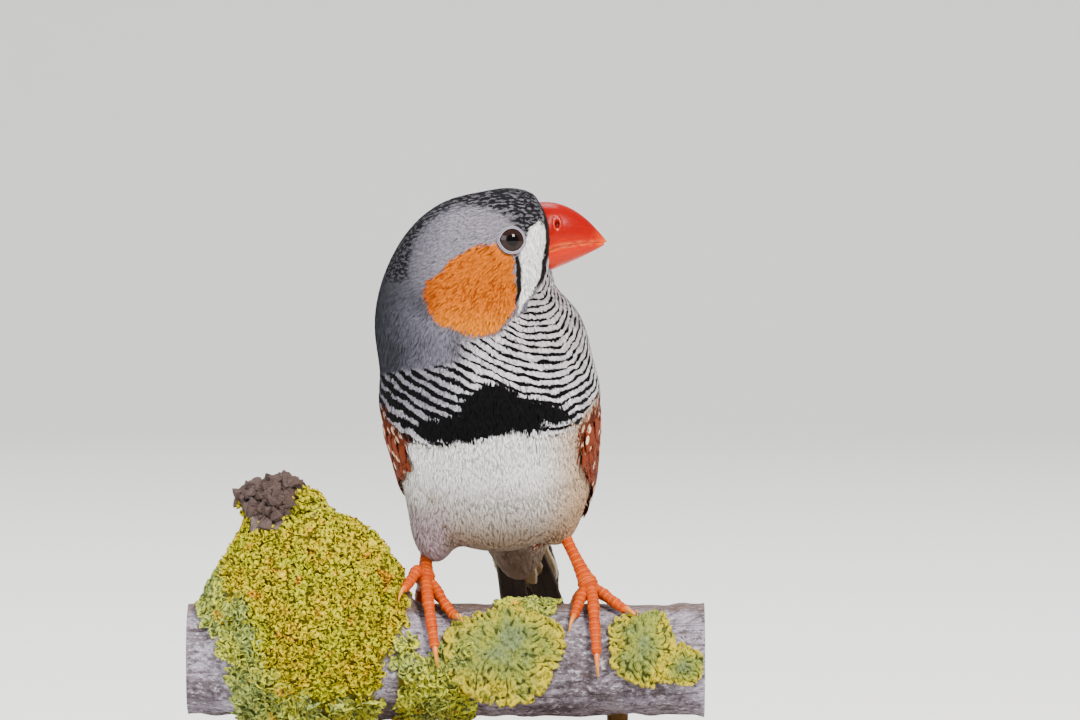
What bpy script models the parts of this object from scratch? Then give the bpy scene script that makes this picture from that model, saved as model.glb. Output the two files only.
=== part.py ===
"""A life-size male zebra finch on a short cut length of branch, held up by a plain display stand.

The bird's own frame has its origin on top of the perch, below the middle of the breast: +X is the bird's left,
-Y is where the breast faces and +Z is up. Sizes in the tables are millimetres in that frame, and the meshes are
metres. One empty carries the bird and perch above the base, whose underside centre is the origin.
"""

import math

import bmesh
import bpy
import numpy as np
from mathutils import Matrix, Vector

MM = 0.001
GAP = 0.3  # clearance between nodes that touch
THIN = 0.55  # feather vane thickness

# Driving dimensions
PERCH_TOP = 32.0  # height of the perch's top over the floor
BIRD_X = 6.0  # the bird's place on the stand
BIRD_Y = -12.5
BASE_RADIUS = 44.0
BASE_HEIGHT = 6.0
PERCH_RADIUS = 8.6
PERCH_LEFT = -45.5
PERCH_RIGHT = 32.0
BODY_PITCH = 55.0  # the body axis above the horizontal
BODY_YAW = 6.0  # the breast turned a little to the bird's right
TAIL_PITCH = -48.0
TAIL_YAW = 15.0
TAIL_LENGTH = 39.0
BILL_LENGTH = 9.3
BILL_DEPTH = 10.6
BILL_WIDTH = 7.8
BILL_ROOT_LENGTH = 4.0  # how far it starts inside the face before the face is cut from it
EYE_RADIUS = 2.5
EYE_OPENING = 1.72
LID_THICKNESS = 0.42
TARSUS_RADIUS = 1.1
TOE_RADIUS = 0.85
BLEND = 4.5  # how softly one mass of the body runs into the next

SKIN_VOXEL = 2.6
HEAD_VOXEL = 2.1
PERCH_VOXEL = 3.0


# Masses of the body: centre, radii, pitch about X in degrees
BODY_MASSES = {
    "breast": ((-0.2, -2.5, 31.0), (16.6, 15.0, 14.2), 0.0),
    "belly": ((0.9, 2.0, 20.6), (14.6, 12.6, 13.0), 0.0),
    "back": ((0.0, 6.0, 29.0), (14.0, 10.5, 18.0), 28.0),
    "rump": ((3.0, 13.0, 16.2), (6.4, 6.2, 12.0), 45.0),
    "neck": ((-1.2, -2.5, 40.5), (14.8, 12.4, 9.7), 0.0),
    "nape": ((-8.0, -1.5, 44.6), (8.8, 9.8, 11.1), 0.0),
    "head": ((-1.8, -5.0, 52.2), (10.8, 8.2, 9.2), 0.0),
    "face": ((2.6, -5.0, 54.5), (5.2, 6.6, 6.3), 0.0),
    "forehead": ((4.5, -5.0, 56.4), (3.8, 5.2, 4.2), 0.0),
}
TAIL_ROOT = ((4.2, 19.5, 9.0), (4.3, 3.6, 9.0), 42.0)
THIGHS = {
    "right": ((-8.4, 1.6, 13.4), (3.9, 4.8, 7.6), 14.0),
    "left": ((9.7, 3.2, 14.8), (3.9, 4.5, 6.4), 12.0),
}
ANKLES = {"right": (-9.7, 7.4, 10.4), "left": (9.7, 4.6, 12.4)}
FOOT_JOINTS = {"right": (-9.9, -1.2, 3.5), "left": (14.7, -1.6, 2.6)}

# Toes: x at the root and at the tip, angle round the perch at both, from its top towards the front, in degrees
TOES = {
    "right": {
        "outer": (-10.6, -12.9, 4.0, 30.0),
        "middle": (-9.9, -8.3, 10.0, 76.0),
        "inner": (-9.2, -5.4, 6.0, 44.0),
        "hallux": (-10.2, -11.4, -14.0, -58.0),
    },
    "left": {
        "outer": (15.4, 20.2, 4.0, 34.0),
        "middle": (15.1, 15.8, 10.0, 82.0),
        "inner": (14.2, 12.4, 6.0, 44.0),
        "hallux": (14.2, 11.0, -14.0, -60.0),
    },
}
FOOT_JOINT_RADIUS = 1.55
CLAW_RADII = (0.52, 0.12)  # at the root and at the tip
CLAW_LENGTHS = {"outer": 3.0, "middle": 4.0, "inner": 3.2, "hallux": 4.2}

# The perch: a broken side shoot as a tapered rod, its lichen crust, and two lichen rosettes in front
SHOOT = ((-28.0, -1.0, -4.0), (-31.5, -1.0, 12.6), 11.0, 6.0)
CRUST = ((-27.3, -2.5, -3.0), (15.3, 9.5, 17.0), 0.0)
ROSETTES = (
    ((2.4, -8.4, -7.5), (8.4, 1.2, 6.6)),
    ((24.4, -8.2, -6.4), (4.6, 1.3, 5.2)),
)
ROD_XS = {"left": -27.0, "right": 19.0}
ROD_RADIUS = 1.6

# Thin cuts that part the whole body: a point, and a direction towards the head
HEAD_CUT = ((-3.5, -5.0, 44.0), (-0.27, 0.0, 0.963))
NECK_CUT = ((0.0, -2.0, 36.0), (0.0, -0.34, 0.94))

# The head's eye openings are placed by ray from its middle line, and the bill by its base and tip
EYE_X = 3.2
EYE_Z = 54.7
HEAD_MIDDLE_Y = -5.0
BILL_BASE_X = 8.1
BILL_TIP_Z = 54.2
NOSTRIL_PLACE = (9.9, 3.2, 57.0)  # x, distance from the head's middle, z
NOSTRIL_RADII = (0.38, 0.55, 0.65)

# Wing feathers in tiers: count, root and tip of the first feather, root and tip of the last, each a station along
# the body and an angle round it from the back, then half width, height over the body at root and tip, and segments
WING_TIERS = {
    "primaries": (6, (-0.5, 74.0), (-26.0, 32.0), (-2.5, 65.0), (-16.5, 47.0), 2.1, 0.85, 1.5, 5),
    "secondaries": (5, (0.5, 72.0), (-13.5, 58.0), (1.5, 50.0), (-16.5, 36.0), 2.3, 1.15, 1.5, 4),
    "tertials": (3, (1.5, 47.0), (-18.5, 26.0), (2.5, 33.0), (-11.5, 20.0), 3.0, 1.5, 1.8, 4),
    "greater_coverts": (6, (5.5, 74.0), (-4.5, 70.0), (5.0, 32.0), (-5.0, 25.0), 2.6, 1.35, 1.8, 3),
    "median_coverts": (5, (9.5, 71.0), (1.0, 70.0), (9.5, 38.0), (1.0, 32.0), 2.8, 1.2, 2.0, 3),
}
WING_CORE = ((1.0, 12.0), (52.0, 25.0), (1.2, 0.85))  # station, angle and height, each a middle and a half span
WING_TURN = {-1: -15.0, 1: -23.0}  # degrees that the right and left wing are turned towards the belly


def colour_of(code):
    """Linear colour from an sRGB hex code."""
    channels = [int(code[i:i + 2], 16) / 255 for i in (0, 2, 4)]
    return [c / 12.92 if c <= 0.04045 else ((c + 0.055) / 1.055) ** 2.4 for c in channels] + [1.0]


def make_material(name, code, roughness, metallic=0.0):
    made = bpy.data.materials.new(name)
    made.use_nodes = True
    shader = made.node_tree.nodes["Principled BSDF"]
    shader.inputs["Base Color"].default_value = colour_of(code)
    shader.inputs["Roughness"].default_value = roughness
    shader.inputs["Metallic"].default_value = metallic
    return made


def clear_scene():
    for old in list(bpy.data.objects):
        bpy.data.objects.remove(old)


def pitch_matrix(degrees):
    """Turns about X, so that a positive pitch leans the top of a mass forwards."""
    c = math.cos(math.radians(degrees))
    s = math.sin(math.radians(degrees))
    return np.array([[1, 0, 0], [0, c, -s], [0, s, c]])


def mass_distance(points, mass):
    """Signed distance, near enough, from points to one ellipsoid."""
    centre, radii, pitch = mass
    local = (points - np.array(centre)) @ pitch_matrix(pitch)
    radii = np.array(radii)
    reach = np.linalg.norm(local / radii, axis=1)
    slope = np.linalg.norm(local / radii ** 2, axis=1)
    return reach * (reach - 1) / np.maximum(slope, 1e-9)


def soft_union(first, second, width):
    share = np.clip(0.5 + 0.5 * (second - first) / width, 0, 1)
    return second + (first - second) * share - width * share * (1 - share)


def body_field(points):
    """Signed distance from points to the blended body, in millimetres."""
    total = None
    for mass in BODY_MASSES.values():
        one = mass_distance(points, mass)
        total = one if total is None else soft_union(total, one, BLEND)
    return total


def support_field(points):
    """The body with the tail's root, which the folded wings lie on."""
    return soft_union(body_field(points), mass_distance(points, TAIL_ROOT), BLEND)


def rod_distance(points, start, end, start_radius, end_radius):
    """Signed distance, near enough, to a tapered round-ended rod."""
    start = np.array(start)
    run = np.array(end) - start
    along = np.clip((points - start) @ run / (run @ run), 0, 1)
    radius = start_radius + (end_radius - start_radius) * along
    return np.linalg.norm(points - start - along[:, None] * run, axis=1) - radius


def perch_field(points):
    """The branch, the broken side shoot with its lichen crust, and the lichen rosettes in front."""
    sway = 0.35 * np.sin(points[:, 0] / 9.0) + 0.2 * np.sin(points[:, 0] / 4.1 + 1.3)
    left = (PERCH_LEFT - 20, 0, -PERCH_RADIUS)
    right = (PERCH_RIGHT + 20, 0, -PERCH_RADIUS)
    branch = rod_distance(points, left, right, PERCH_RADIUS, PERCH_RADIUS)
    near_feet = np.exp(-((points[:, 0] - 2.5) / 17.0) ** 4)
    branch = branch + sway * (1 - near_feet)
    shoot = rod_distance(points, *SHOOT)
    total = soft_union(soft_union(branch, shoot, 4.0), mass_distance(points, CRUST), 3.0)
    for centre, radii in ROSETTES:
        total = soft_union(total, mass_distance(points, (centre, radii, 0.0)), 0.8)
    return total


def unit(vector):
    vector = np.asarray(vector, float)
    return vector / np.linalg.norm(vector)


def direction_of(pitch, yaw):
    """A direction that many degrees above the horizontal, turned from +Y towards +X."""
    p = math.radians(pitch)
    y = math.radians(yaw)
    return np.array([math.sin(y) * math.cos(p), math.cos(y) * math.cos(p), math.sin(p)])


BODY_CENTRE = np.array([0.8, 2.0, 27.0])
BODY_AXIS = direction_of(BODY_PITCH, 180.0 + BODY_YAW)  # towards the head
BODY_BACK = direction_of(90.0 - BODY_PITCH, BODY_YAW)  # square to the axis, out of the back
BODY_LEFT = np.cross(BODY_BACK, BODY_AXIS)
TAIL_AXIS = direction_of(TAIL_PITCH, TAIL_YAW)
TAIL_SIDE = unit(np.cross(TAIL_AXIS, (0, 0, 1)))
TAIL_UP = np.cross(TAIL_SIDE, TAIL_AXIS)


def out_to(field, origins, directions, height):
    """Points along rays where the field reaches a height, found by halving."""
    low = np.zeros(len(origins))
    high = np.full(len(origins), 40.0)
    for _ in range(30):
        middle = (low + high) / 2
        inside = field(origins + directions * middle[:, None]) < height
        low = np.where(inside, middle, low)
        high = np.where(inside, high, middle)
    return origins + directions * high[:, None]


def on_body(stations, angles, side, heights):
    """Points over the body's skin. A station is millimetres along the body axis towards the head, an angle is
    degrees round it from the back, and side is 1 for the left and -1 for the right."""
    stations = np.asarray(stations, float)
    turn = np.radians(np.asarray(angles, float))
    heights = np.broadcast_to(np.asarray(heights, float), stations.shape)
    origins = BODY_CENTRE + stations[:, None] * BODY_AXIS
    rays = np.cos(turn)[:, None] * BODY_BACK + side * np.sin(turn)[:, None] * BODY_LEFT
    return out_to(support_field, origins, rays, heights)


def on_perch(xs, angles, heights):
    """Points over the perch's bark, by x and by degrees round it from the top towards the front."""
    xs = np.asarray(xs, float)
    turn = np.radians(np.asarray(angles, float))
    origins = np.stack([xs, 0 * xs, 0 * xs - PERCH_RADIUS], 1)
    rays = np.stack([0 * xs, -np.sin(turn), np.cos(turn)], 1)
    return out_to(perch_field, origins, rays, np.asarray(heights, float))


def normals_at(field, points):
    step = 0.05
    slopes = [field(points + step * axis) - field(points - step * axis) for axis in np.eye(3)]
    slopes = np.stack(slopes, 1)
    return slopes / np.linalg.norm(slopes, axis=1)[:, None]


def link(name, mesh):
    made = bpy.data.objects.new(name, mesh)
    bpy.context.scene.collection.objects.link(made)
    return made


def mesh_from(name, build):
    """A mesh object in metres from a bmesh that the build function fills in millimetres."""
    work = bmesh.new()
    build(work)
    bmesh.ops.scale(work, vec=(MM, MM, MM), verts=work.verts[:])
    bmesh.ops.recalc_face_normals(work, faces=work.faces[:])
    mesh = bpy.data.meshes.new(name)
    work.to_mesh(mesh)
    work.free()
    return link(name, mesh)


def evaluated_copy(source, name):
    """A plain mesh object of what the viewport shows, in place of the source."""
    bpy.context.view_layer.update()
    graph = bpy.context.evaluated_depsgraph_get()
    mesh = bpy.data.meshes.new_from_object(source.evaluated_get(graph))
    mesh.transform(source.matrix_world)
    bpy.data.objects.remove(source)
    mesh.name = name
    return link(name, mesh)


def field_solid(name, field, rough, voxel):
    """A closed mesh of a field's zero surface: rough overlapping solids, made one by voxels, then drawn onto it."""
    block = mesh_from(name, rough)
    remesh = block.modifiers.new("voxels", "REMESH")
    remesh.mode = "VOXEL"
    remesh.voxel_size = voxel * MM
    block = evaluated_copy(block, name)
    draw_onto(block, field)
    return block


def draw_onto(block, field, rounds=14):
    """Moves each vertex down the field's slope to its zero surface, and evens the net a little as it goes."""
    mesh = block.data
    count = len(mesh.vertices)
    points = np.zeros(count * 3)
    mesh.vertices.foreach_get("co", points)
    points = points.reshape(-1, 3) / MM
    edges = np.zeros(len(mesh.edges) * 2, int)
    mesh.edges.foreach_get("vertices", edges)
    edges = edges.reshape(-1, 2)
    degree = np.bincount(edges.ravel(), minlength=count)[:, None]
    for turn in range(rounds):
        if turn < rounds - 2:
            sums = np.zeros_like(points)
            np.add.at(sums, edges[:, 0], points[edges[:, 1]])
            np.add.at(sums, edges[:, 1], points[edges[:, 0]])
            points = points + 0.6 * (sums / degree - points)
        for _ in range(2):
            points = points - field(points)[:, None] * normals_at(field, points)
    mesh.vertices.foreach_set("co", (points * MM).ravel())
    mesh.update()


def add_mass(work, mass, segments=24, rings=16):
    """An ellipsoid in a bmesh, as one of the blended masses."""
    centre, radii, pitch = mass
    turn = Matrix(pitch_matrix(pitch).tolist()).to_4x4()
    place = Matrix.Translation(centre) @ turn @ Matrix.Diagonal((*radii, 1.0))
    bmesh.ops.create_uvsphere(work, u_segments=segments, v_segments=rings, radius=1.0, matrix=place)


def body_solid(name, voxel):
    def rough(work):
        for mass in BODY_MASSES.values():
            add_mass(work, mass)

    return field_solid(name, body_field, rough, voxel)


def grown(source, name, by=GAP):
    """A copy of a solid with every vertex moved out along its normal, to cut a neighbour with."""
    mesh = source.data.copy()
    normals = [vert.normal.copy() for vert in mesh.vertices]
    for vert, normal in zip(mesh.vertices, normals):
        vert.co += normal * by * MM
    return link(name, mesh)


def cut_off(source, point, direction, shift):
    """Removes what lies beyond a plane, on the side its direction points to, and closes the cut."""
    normal = Vector(direction).normalized()
    place = Vector(point) * MM + normal * shift * MM
    work = bmesh.new()
    work.from_mesh(source.data)
    geometry = work.verts[:] + work.edges[:] + work.faces[:]
    cut = bmesh.ops.bisect_plane(work, geom=geometry, plane_co=place, plane_no=normal, clear_outer=True)
    rim = [item for item in cut["geom_cut"] if isinstance(item, bmesh.types.BMEdge)]
    made = bmesh.ops.edgeloop_fill(work, edges=rim)
    bmesh.ops.triangulate(work, faces=made["faces"])
    bmesh.ops.recalc_face_normals(work, faces=work.faces[:])
    work.to_mesh(source.data)
    work.free()


def combine(operation, base, tools):
    """One Boolean with a collection of closed meshes, applied, with all of their objects then removed. The second
    solver is for a result that the first one leaves open."""
    group = bpy.data.collections.new(base.name + "_tools")
    for tool in tools:
        group.objects.link(tool)
    boolean = base.modifiers.new(operation.lower(), "BOOLEAN")
    boolean.operation = operation
    boolean.operand_type = "COLLECTION"
    boolean.collection = group
    for solver, nearness in (("EXACT", 5e-6), ("MANIFOLD", 5e-6), ("EXACT", 2e-6), ("MANIFOLD", 2e-6)):
        boolean.solver = solver
        bpy.context.view_layer.update()
        graph = bpy.context.evaluated_depsgraph_get()
        mesh = bpy.data.meshes.new_from_object(base.evaluated_get(graph))
        mesh.transform(base.matrix_world)
        if keep_largest(mesh, nearness):
            break
        print(base.name, operation, solver, "left the surface open")
    name = base.name
    for spent in [base, *tools]:
        bpy.data.objects.remove(spent)
    bpy.data.collections.remove(group)
    mesh.name = name
    return link(name, mesh)


def part_sheets(work):
    """Turns one of the two diagonals that two sheets of triangles share, so that the sheets no longer touch."""
    for edge in [edge for edge in work.edges if len(edge.link_faces) == 4]:
        first = edge.link_faces[0]
        mate = max(list(edge.link_faces)[1:], key=lambda face: face.normal.dot(first.normal))
        loop = next(loop for loop in first.loops if loop.edge == edge)
        near, far, side = loop.vert, loop.link_loop_next.vert, loop.link_loop_prev.vert
        other = next(vert for vert in mate.verts if vert not in edge.verts)
        if any(side in link.verts for link in other.link_edges):
            continue
        bmesh.ops.delete(work, geom=[first, mate], context="FACES_ONLY")
        work.faces.new((side, near, other))
        work.faces.new((other, far, side))


def keep_largest(mesh, nearness):
    """Drops every closed surface of a mesh but the one with the most volume, and tells if that one is closed."""
    work = bmesh.new()
    work.from_mesh(mesh)
    bmesh.ops.remove_doubles(work, verts=work.verts[:], dist=nearness)
    bmesh.ops.dissolve_degenerate(work, dist=nearness, edges=work.edges[:])
    straight = [vert for vert in work.verts if len(vert.link_edges) == 2]
    bmesh.ops.dissolve_verts(work, verts=straight)
    bmesh.ops.triangulate(work, faces=work.faces[:])
    bmesh.ops.dissolve_degenerate(work, dist=nearness, edges=work.edges[:])
    bmesh.ops.triangulate(work, faces=work.faces[:])
    part_sheets(work)
    work.faces.index_update()
    seen = set()
    islands = []
    for seed in work.faces:
        if seed.index in seen:
            continue
        seen.add(seed.index)
        island = [seed]
        for face in island:
            for edge in face.edges:
                for other in edge.link_faces:
                    if other.index not in seen:
                        seen.add(other.index)
                        island.append(other)
        volume = sum(f.verts[0].co.dot(f.verts[1].co.cross(f.verts[2].co)) for f in island)
        islands.append((abs(volume), island))
    islands.sort(key=lambda entry: entry[0])
    spare = [face for _, island in islands[:-1] for face in island]
    bmesh.ops.delete(work, geom=spare, context="FACES")
    closed = all(len(edge.link_faces) == 2 for edge in work.edges)
    work.to_mesh(mesh)
    work.free()
    return closed


def sphere(name, centre, radius, segments=20, rings=12):
    return mesh_from(name, lambda work: add_mass(work, (centre, (radius,) * 3, 0.0), segments, rings))


def tube(name, points, radii, resolution=2):
    """A tapered round rod along points, as a curve with filled caps, made a mesh."""
    curve = bpy.data.curves.new(name, "CURVE")
    curve.dimensions = "3D"
    curve.bevel_depth = MM
    curve.bevel_resolution = resolution
    curve.use_fill_caps = True
    spline = curve.splines.new("POLY")
    spline.points.add(len(points) - 1)
    for knot, point, radius in zip(spline.points, points, radii):
        knot.co = (*(np.array(point) * MM), 1.0)
        knot.radius = radius
    made = evaluated_copy(link(name, curve), name)
    work = bmesh.new()
    work.from_mesh(made.data)
    bmesh.ops.remove_doubles(work, verts=work.verts[:], dist=1e-6)
    bmesh.ops.recalc_face_normals(work, faces=work.faces[:])
    work.to_mesh(made.data)
    work.free()
    return made


def blade(name, centres, ups, halves, roll=0.0, camber=0.3):
    """A feather vane: a thin strip with a raised shaft along its centres, its two faces split alike."""
    centres = np.asarray(centres)
    runs = np.gradient(centres, axis=0)
    sides = np.cross(runs, ups)
    sides = sides / np.linalg.norm(sides, axis=1)[:, None]
    turn = math.radians(roll)
    sides, ups = sides * math.cos(turn) + ups * math.sin(turn), ups * math.cos(turn) - sides * math.sin(turn)

    def strip(work):
        rows = []
        for centre, side, up, half in zip(centres, sides, ups, halves):
            edge = half * side
            lift = camber * min(1.0, half) * up
            rows.append([work.verts.new(Vector(p)) for p in (centre - edge, centre + lift, centre + edge)])
        for near, far in zip(rows, rows[1:]):
            for corners in ((near[0], near[1], far[0]), (near[1], far[1], far[0]), (near[1], near[2], far[2]),
                            (near[1], far[2], far[1])):
                work.faces.new(corners)

    made = mesh_from(name, strip)
    wall = made.modifiers.new("thickness", "SOLIDIFY")
    wall.thickness = THIN * MM
    wall.offset = 0.0
    return evaluated_copy(made, name)


def vane_halves(count, half):
    """Half widths along a vane: narrow at the quill, full beyond the middle, and rounded off at the tip."""
    steps = np.linspace(0, 1, count)
    swell = np.clip(0.55 + 1.4 * steps, 0, 1)
    tip = np.sqrt(np.clip(1 - ((steps - 0.62) / 0.42) ** 2 * (steps > 0.62), 0.12, 1))
    return half * swell * tip


def vane_steps(segments):
    """Places along a vane, closer together at its tip."""
    return 1 - (1 - np.linspace(0, 1, segments + 1)) ** 1.35


def make_wing(name, side):
    """One folded wing: a smooth core of small coverts with the flight feathers and large coverts in tiers."""
    def core(work):
        bmesh.ops.create_uvsphere(work, u_segments=18, v_segments=10, radius=1.0)
        unit_points = np.array([vert.co for vert in work.verts])
        (station, length), (angle, spread), (height, depth) = WING_CORE
        places = on_body(
            station + length * unit_points[:, 2],
            angle + WING_TURN[side] + spread * unit_points[:, 0],
            side,
            height + depth * unit_points[:, 1],
        )
        for vert, place in zip(work.verts, places):
            vert.co = Vector(place)

    pieces = [mesh_from(name, core)]
    for tier, entry in WING_TIERS.items():
        count, root_a, tip_a, root_b, tip_b, half, height_root, height_tip, segments = entry
        for number in range(count):
            share = number / (count - 1)
            root = np.array(root_a) + share * (np.array(root_b) - np.array(root_a))
            tip = np.array(tip_a) + share * (np.array(tip_b) - np.array(tip_a))
            steps = vane_steps(segments)
            stations = root[0] + (tip[0] - root[0]) * steps
            angles = root[1] + (tip[1] - root[1]) * steps + WING_TURN[side] * (1 - 0.6 * steps)
            heights = height_root + (height_tip - height_root) * steps + 0.085 * number
            centres = on_body(stations, angles, side, heights)
            ups = normals_at(support_field, centres)
            halves = vane_halves(segments + 1, half)
            pieces.append(blade(f"{name}_{tier}_{number}", centres, ups, halves, roll=5.0 * side))
    return combine("UNION", pieces[0], pieces[1:])


def make_tail(torso_cutter):
    """The tail's fleshy root with its rectrices, and the long coverts over and under them."""
    pieces = [mesh_from("tail", lambda work: add_mass(work, TAIL_ROOT, 16, 12))]
    start = np.array(TAIL_ROOT[0]) - 4.0 * TAIL_AXIS
    rows = {
        "rectrix": (10, 0.0, TAIL_LENGTH, 2.3, 0.9, 0.3, 0.32, 4),
        "upper_covert": (6, 2.3, 21.0, 2.3, 2.4, 0.65, 0.3, 3),
        "under_covert": (5, -2.1, 15.0, 2.3, 2.6, 0.7, -0.3, 3),
    }
    for row, (count, height, length, half, fan, spread, step, segments) in rows.items():
        for number in range(count):
            place = number - (count - 1) / 2
            run = unit(TAIL_AXIS + math.tan(math.radians(fan * place)) * TAIL_SIDE)
            level = height - step * abs(place) + 0.13 * (place > 0)
            root = start + TAIL_SIDE * spread * place + TAIL_UP * level
            steps = vane_steps(segments)[:, None]
            reach = length * (1 - 0.03 * abs(place))
            centres = root + run * reach * steps - TAIL_UP * 0.9 * np.sign(height + 0.1) * steps ** 2
            ups = np.repeat(TAIL_UP[None], segments + 1, 0)
            halves = vane_halves(segments + 1, half)
            roll = 2.5 if place > 0 else -2.5
            pieces.append(blade(f"tail_{row}_{number}", centres, ups, halves, roll=roll))
    tail = combine("UNION", pieces[0], pieces[1:])
    return combine("DIFFERENCE", tail, [torso_cutter])


def toe_path(foot, toe, steps):
    """Points along a toe over the perch, past 1 for the claw."""
    x_root, x_tip, angle_root, angle_tip = TOES[foot][toe]
    lift = FOOT_JOINTS[foot][2] - TOE_RADIUS - GAP
    heights = TOE_RADIUS + GAP + lift * np.clip(1 - steps, 0, 1) ** 2
    return on_perch(x_root + (x_tip - x_root) * steps, angle_root + (angle_tip - angle_root) * steps, heights)


def toe_length(foot, toe):
    points = toe_path(foot, toe, np.linspace(0, 1, 9))
    return np.linalg.norm(np.diff(points, axis=0), axis=1).sum()


def make_foot(foot):
    """The toes of one foot, fused at the joint below the shank."""
    joint = np.array(FOOT_JOINTS[foot])
    pieces = [sphere(f"foot_{foot}", joint, FOOT_JOINT_RADIUS, 14, 8)]
    for toe in TOES[foot]:
        steps = np.linspace(0, 1, 9)
        points = toe_path(foot, toe, steps)
        points[0] = joint
        radii = TOE_RADIUS * (1.16 - 0.3 * steps) * (1 + 0.1 * np.cos(steps * 4 * math.pi * 1.5))
        pieces.append(tube(f"toe_{foot}_{toe}", points, radii))
    return combine("UNION", pieces[0], pieces[1:])


def make_claw(foot, toe):
    length = toe_length(foot, toe)
    first = 1 + GAP / length
    steps = first + np.linspace(0, 1, 6) * CLAW_LENGTHS[toe] / length
    points = toe_path(foot, toe, steps)
    share = np.linspace(0, 1, 6)
    outwards = points - (0, 0, -PERCH_RADIUS)
    outwards[:, 0] = 0
    outwards = outwards / np.linalg.norm(outwards, axis=1)[:, None]
    hook = 0.55 * np.sin(share * math.pi) - 0.35 * share  # arched up, then down to the bark
    points = points + outwards * hook[:, None]
    return tube(f"claw_{foot}_{toe}", points, CLAW_RADII[0] + (CLAW_RADII[1] - CLAW_RADII[0]) * share)


def make_shank(foot, cutters):
    """The bare shank with its scutes as low rings, widening to the foot joint."""
    ankle = np.array(ANKLES[foot])
    joint = np.array(FOOT_JOINTS[foot])
    steps = np.linspace(0, 1, 19)[:, None]
    points = ankle + (joint - ankle) * steps
    share = steps[:, 0]
    rings = 1 + 0.06 * np.where(np.arange(19) % 2, 1, -1)
    radii = TARSUS_RADIUS * (1.1 - 0.35 * np.sin(share * math.pi) + 0.22 * share ** 4) * rings
    shank = tube(f"shank_{foot}", points, radii)
    return combine("DIFFERENCE", shank, cutters)


def bill_section(x, lower):
    """Top, bottom and half width of a half of the bill at x."""
    short = min(max((x - BILL_BASE_X) / BILL_LENGTH, 0.0), 1.0)
    top = BILL_TIP_Z + 0.57 * BILL_DEPTH * (1 - short ** 2.1)
    bottom = BILL_TIP_Z - 0.43 * BILL_DEPTH * (1 - short) ** 0.82
    mouth = BILL_TIP_Z - 1.3 * (1 - short) ** 3
    width = BILL_WIDTH / 2 * (1 - 0.95 * short ** 1.45)
    if lower:
        return mouth - GAP / 2, bottom, width * 0.94
    return top, mouth + GAP / 2, width


def make_bill(lower, head_cutter):
    """One half of the bill, lofted along X from inside the face to the tip, and cut back to the face."""
    start_x = BILL_BASE_X - BILL_ROOT_LENGTH
    tip_x = BILL_BASE_X + BILL_LENGTH * (0.9 if lower else 0.97)
    stations = start_x + (tip_x - start_x) * (1 - (1 - np.linspace(0, 1, 13)) ** 1.5)
    around = 12

    def loft(work):
        rings = []
        for x in stations:
            top, bottom, width = bill_section(x, lower)
            ring = []
            for step in range(around):
                turn = 2 * math.pi * step / around
                across = math.cos(turn)
                level = math.sin(turn)
                if lower:
                    z = top + (bottom - top) * max(-level, 0.0) ** 0.9 + 0.08 * max(level, 0.0)
                else:
                    z = bottom + (top - bottom) * max(level, 0.0) ** 0.9 + 0.08 * min(level, 0.0)
                ring.append(work.verts.new((x, HEAD_MIDDLE_Y + width * across, z)))
            rings.append(ring)
        for near, far in zip(rings, rings[1:]):
            for step in range(around):
                following = (step + 1) % around
                work.faces.new((near[step], near[following], far[following], far[step]))
        work.faces.new(rings[0])
        work.faces.new(rings[-1])
        bmesh.ops.triangulate(work, faces=work.faces[:])

    bill = mesh_from("bill_lower" if lower else "bill_upper", loft)
    if lower:
        return combine("DIFFERENCE", bill, [head_cutter])
    return combine("DIFFERENCE", bill, [head_cutter, *nostril_pits()])


def nostril_pits():
    """Two oval cutters that sink a nostril into each side of the upper bill, close to the face."""
    x, reach, z = NOSTRIL_PLACE
    pits = []
    for name, way in (("right", -1.0), ("left", 1.0)):
        mass = ((x, HEAD_MIDDLE_Y + way * reach, z), NOSTRIL_RADII, 0.0)
        pits.append(mesh_from(f"nostril_{name}", lambda work: add_mass(work, mass, 12, 8)))
    return pits


def eye_places():
    """For each side: the middle of the eye's opening on the head, and the direction out of it."""
    places = {}
    for name, way in (("right", -1.0), ("left", 1.0)):
        start = np.array([[EYE_X, HEAD_MIDDLE_Y, EYE_Z]])
        point = out_to(body_field, start, np.array([[0.0, way, 0.0]]), np.zeros(1))
        places[name] = (point[0], normals_at(body_field, point)[0])
    return places


def ring(name, centre, axis, radius, thickness):
    """A round-sectioned ring facing along an axis."""
    bpy.ops.mesh.primitive_torus_add(
        major_radius=radius * MM, minor_radius=thickness * MM, major_segments=20, minor_segments=8
    )
    made = bpy.context.object
    made.name = name
    turn = Vector(axis).to_track_quat("Z", "Y").to_matrix().to_4x4()
    made.data.transform(Matrix.Translation(Vector(centre) * MM) @ turn)
    return made


def make_head(skin):
    """The head with the lids raised round each eye and a socket for the eyeball."""
    lids = []
    sockets = []
    depth = math.sqrt(EYE_RADIUS ** 2 - EYE_OPENING ** 2)
    for side, (point, out) in eye_places().items():
        lids.append(ring(f"lid_{side}", point - 0.05 * out, out, EYE_OPENING + 0.3, LID_THICKNESS))
        sockets.append(sphere(f"socket_{side}", point - depth * out, EYE_RADIUS + GAP, 24, 14))
    head = combine("UNION", skin, lids)
    return combine("DIFFERENCE", head, sockets)


def make_eyes():
    depth = math.sqrt(EYE_RADIUS ** 2 - EYE_OPENING ** 2)
    return [
        sphere(f"eye_{side}", point - depth * out, EYE_RADIUS, 16, 10) for side, (point, out) in eye_places().items()
    ]


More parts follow.
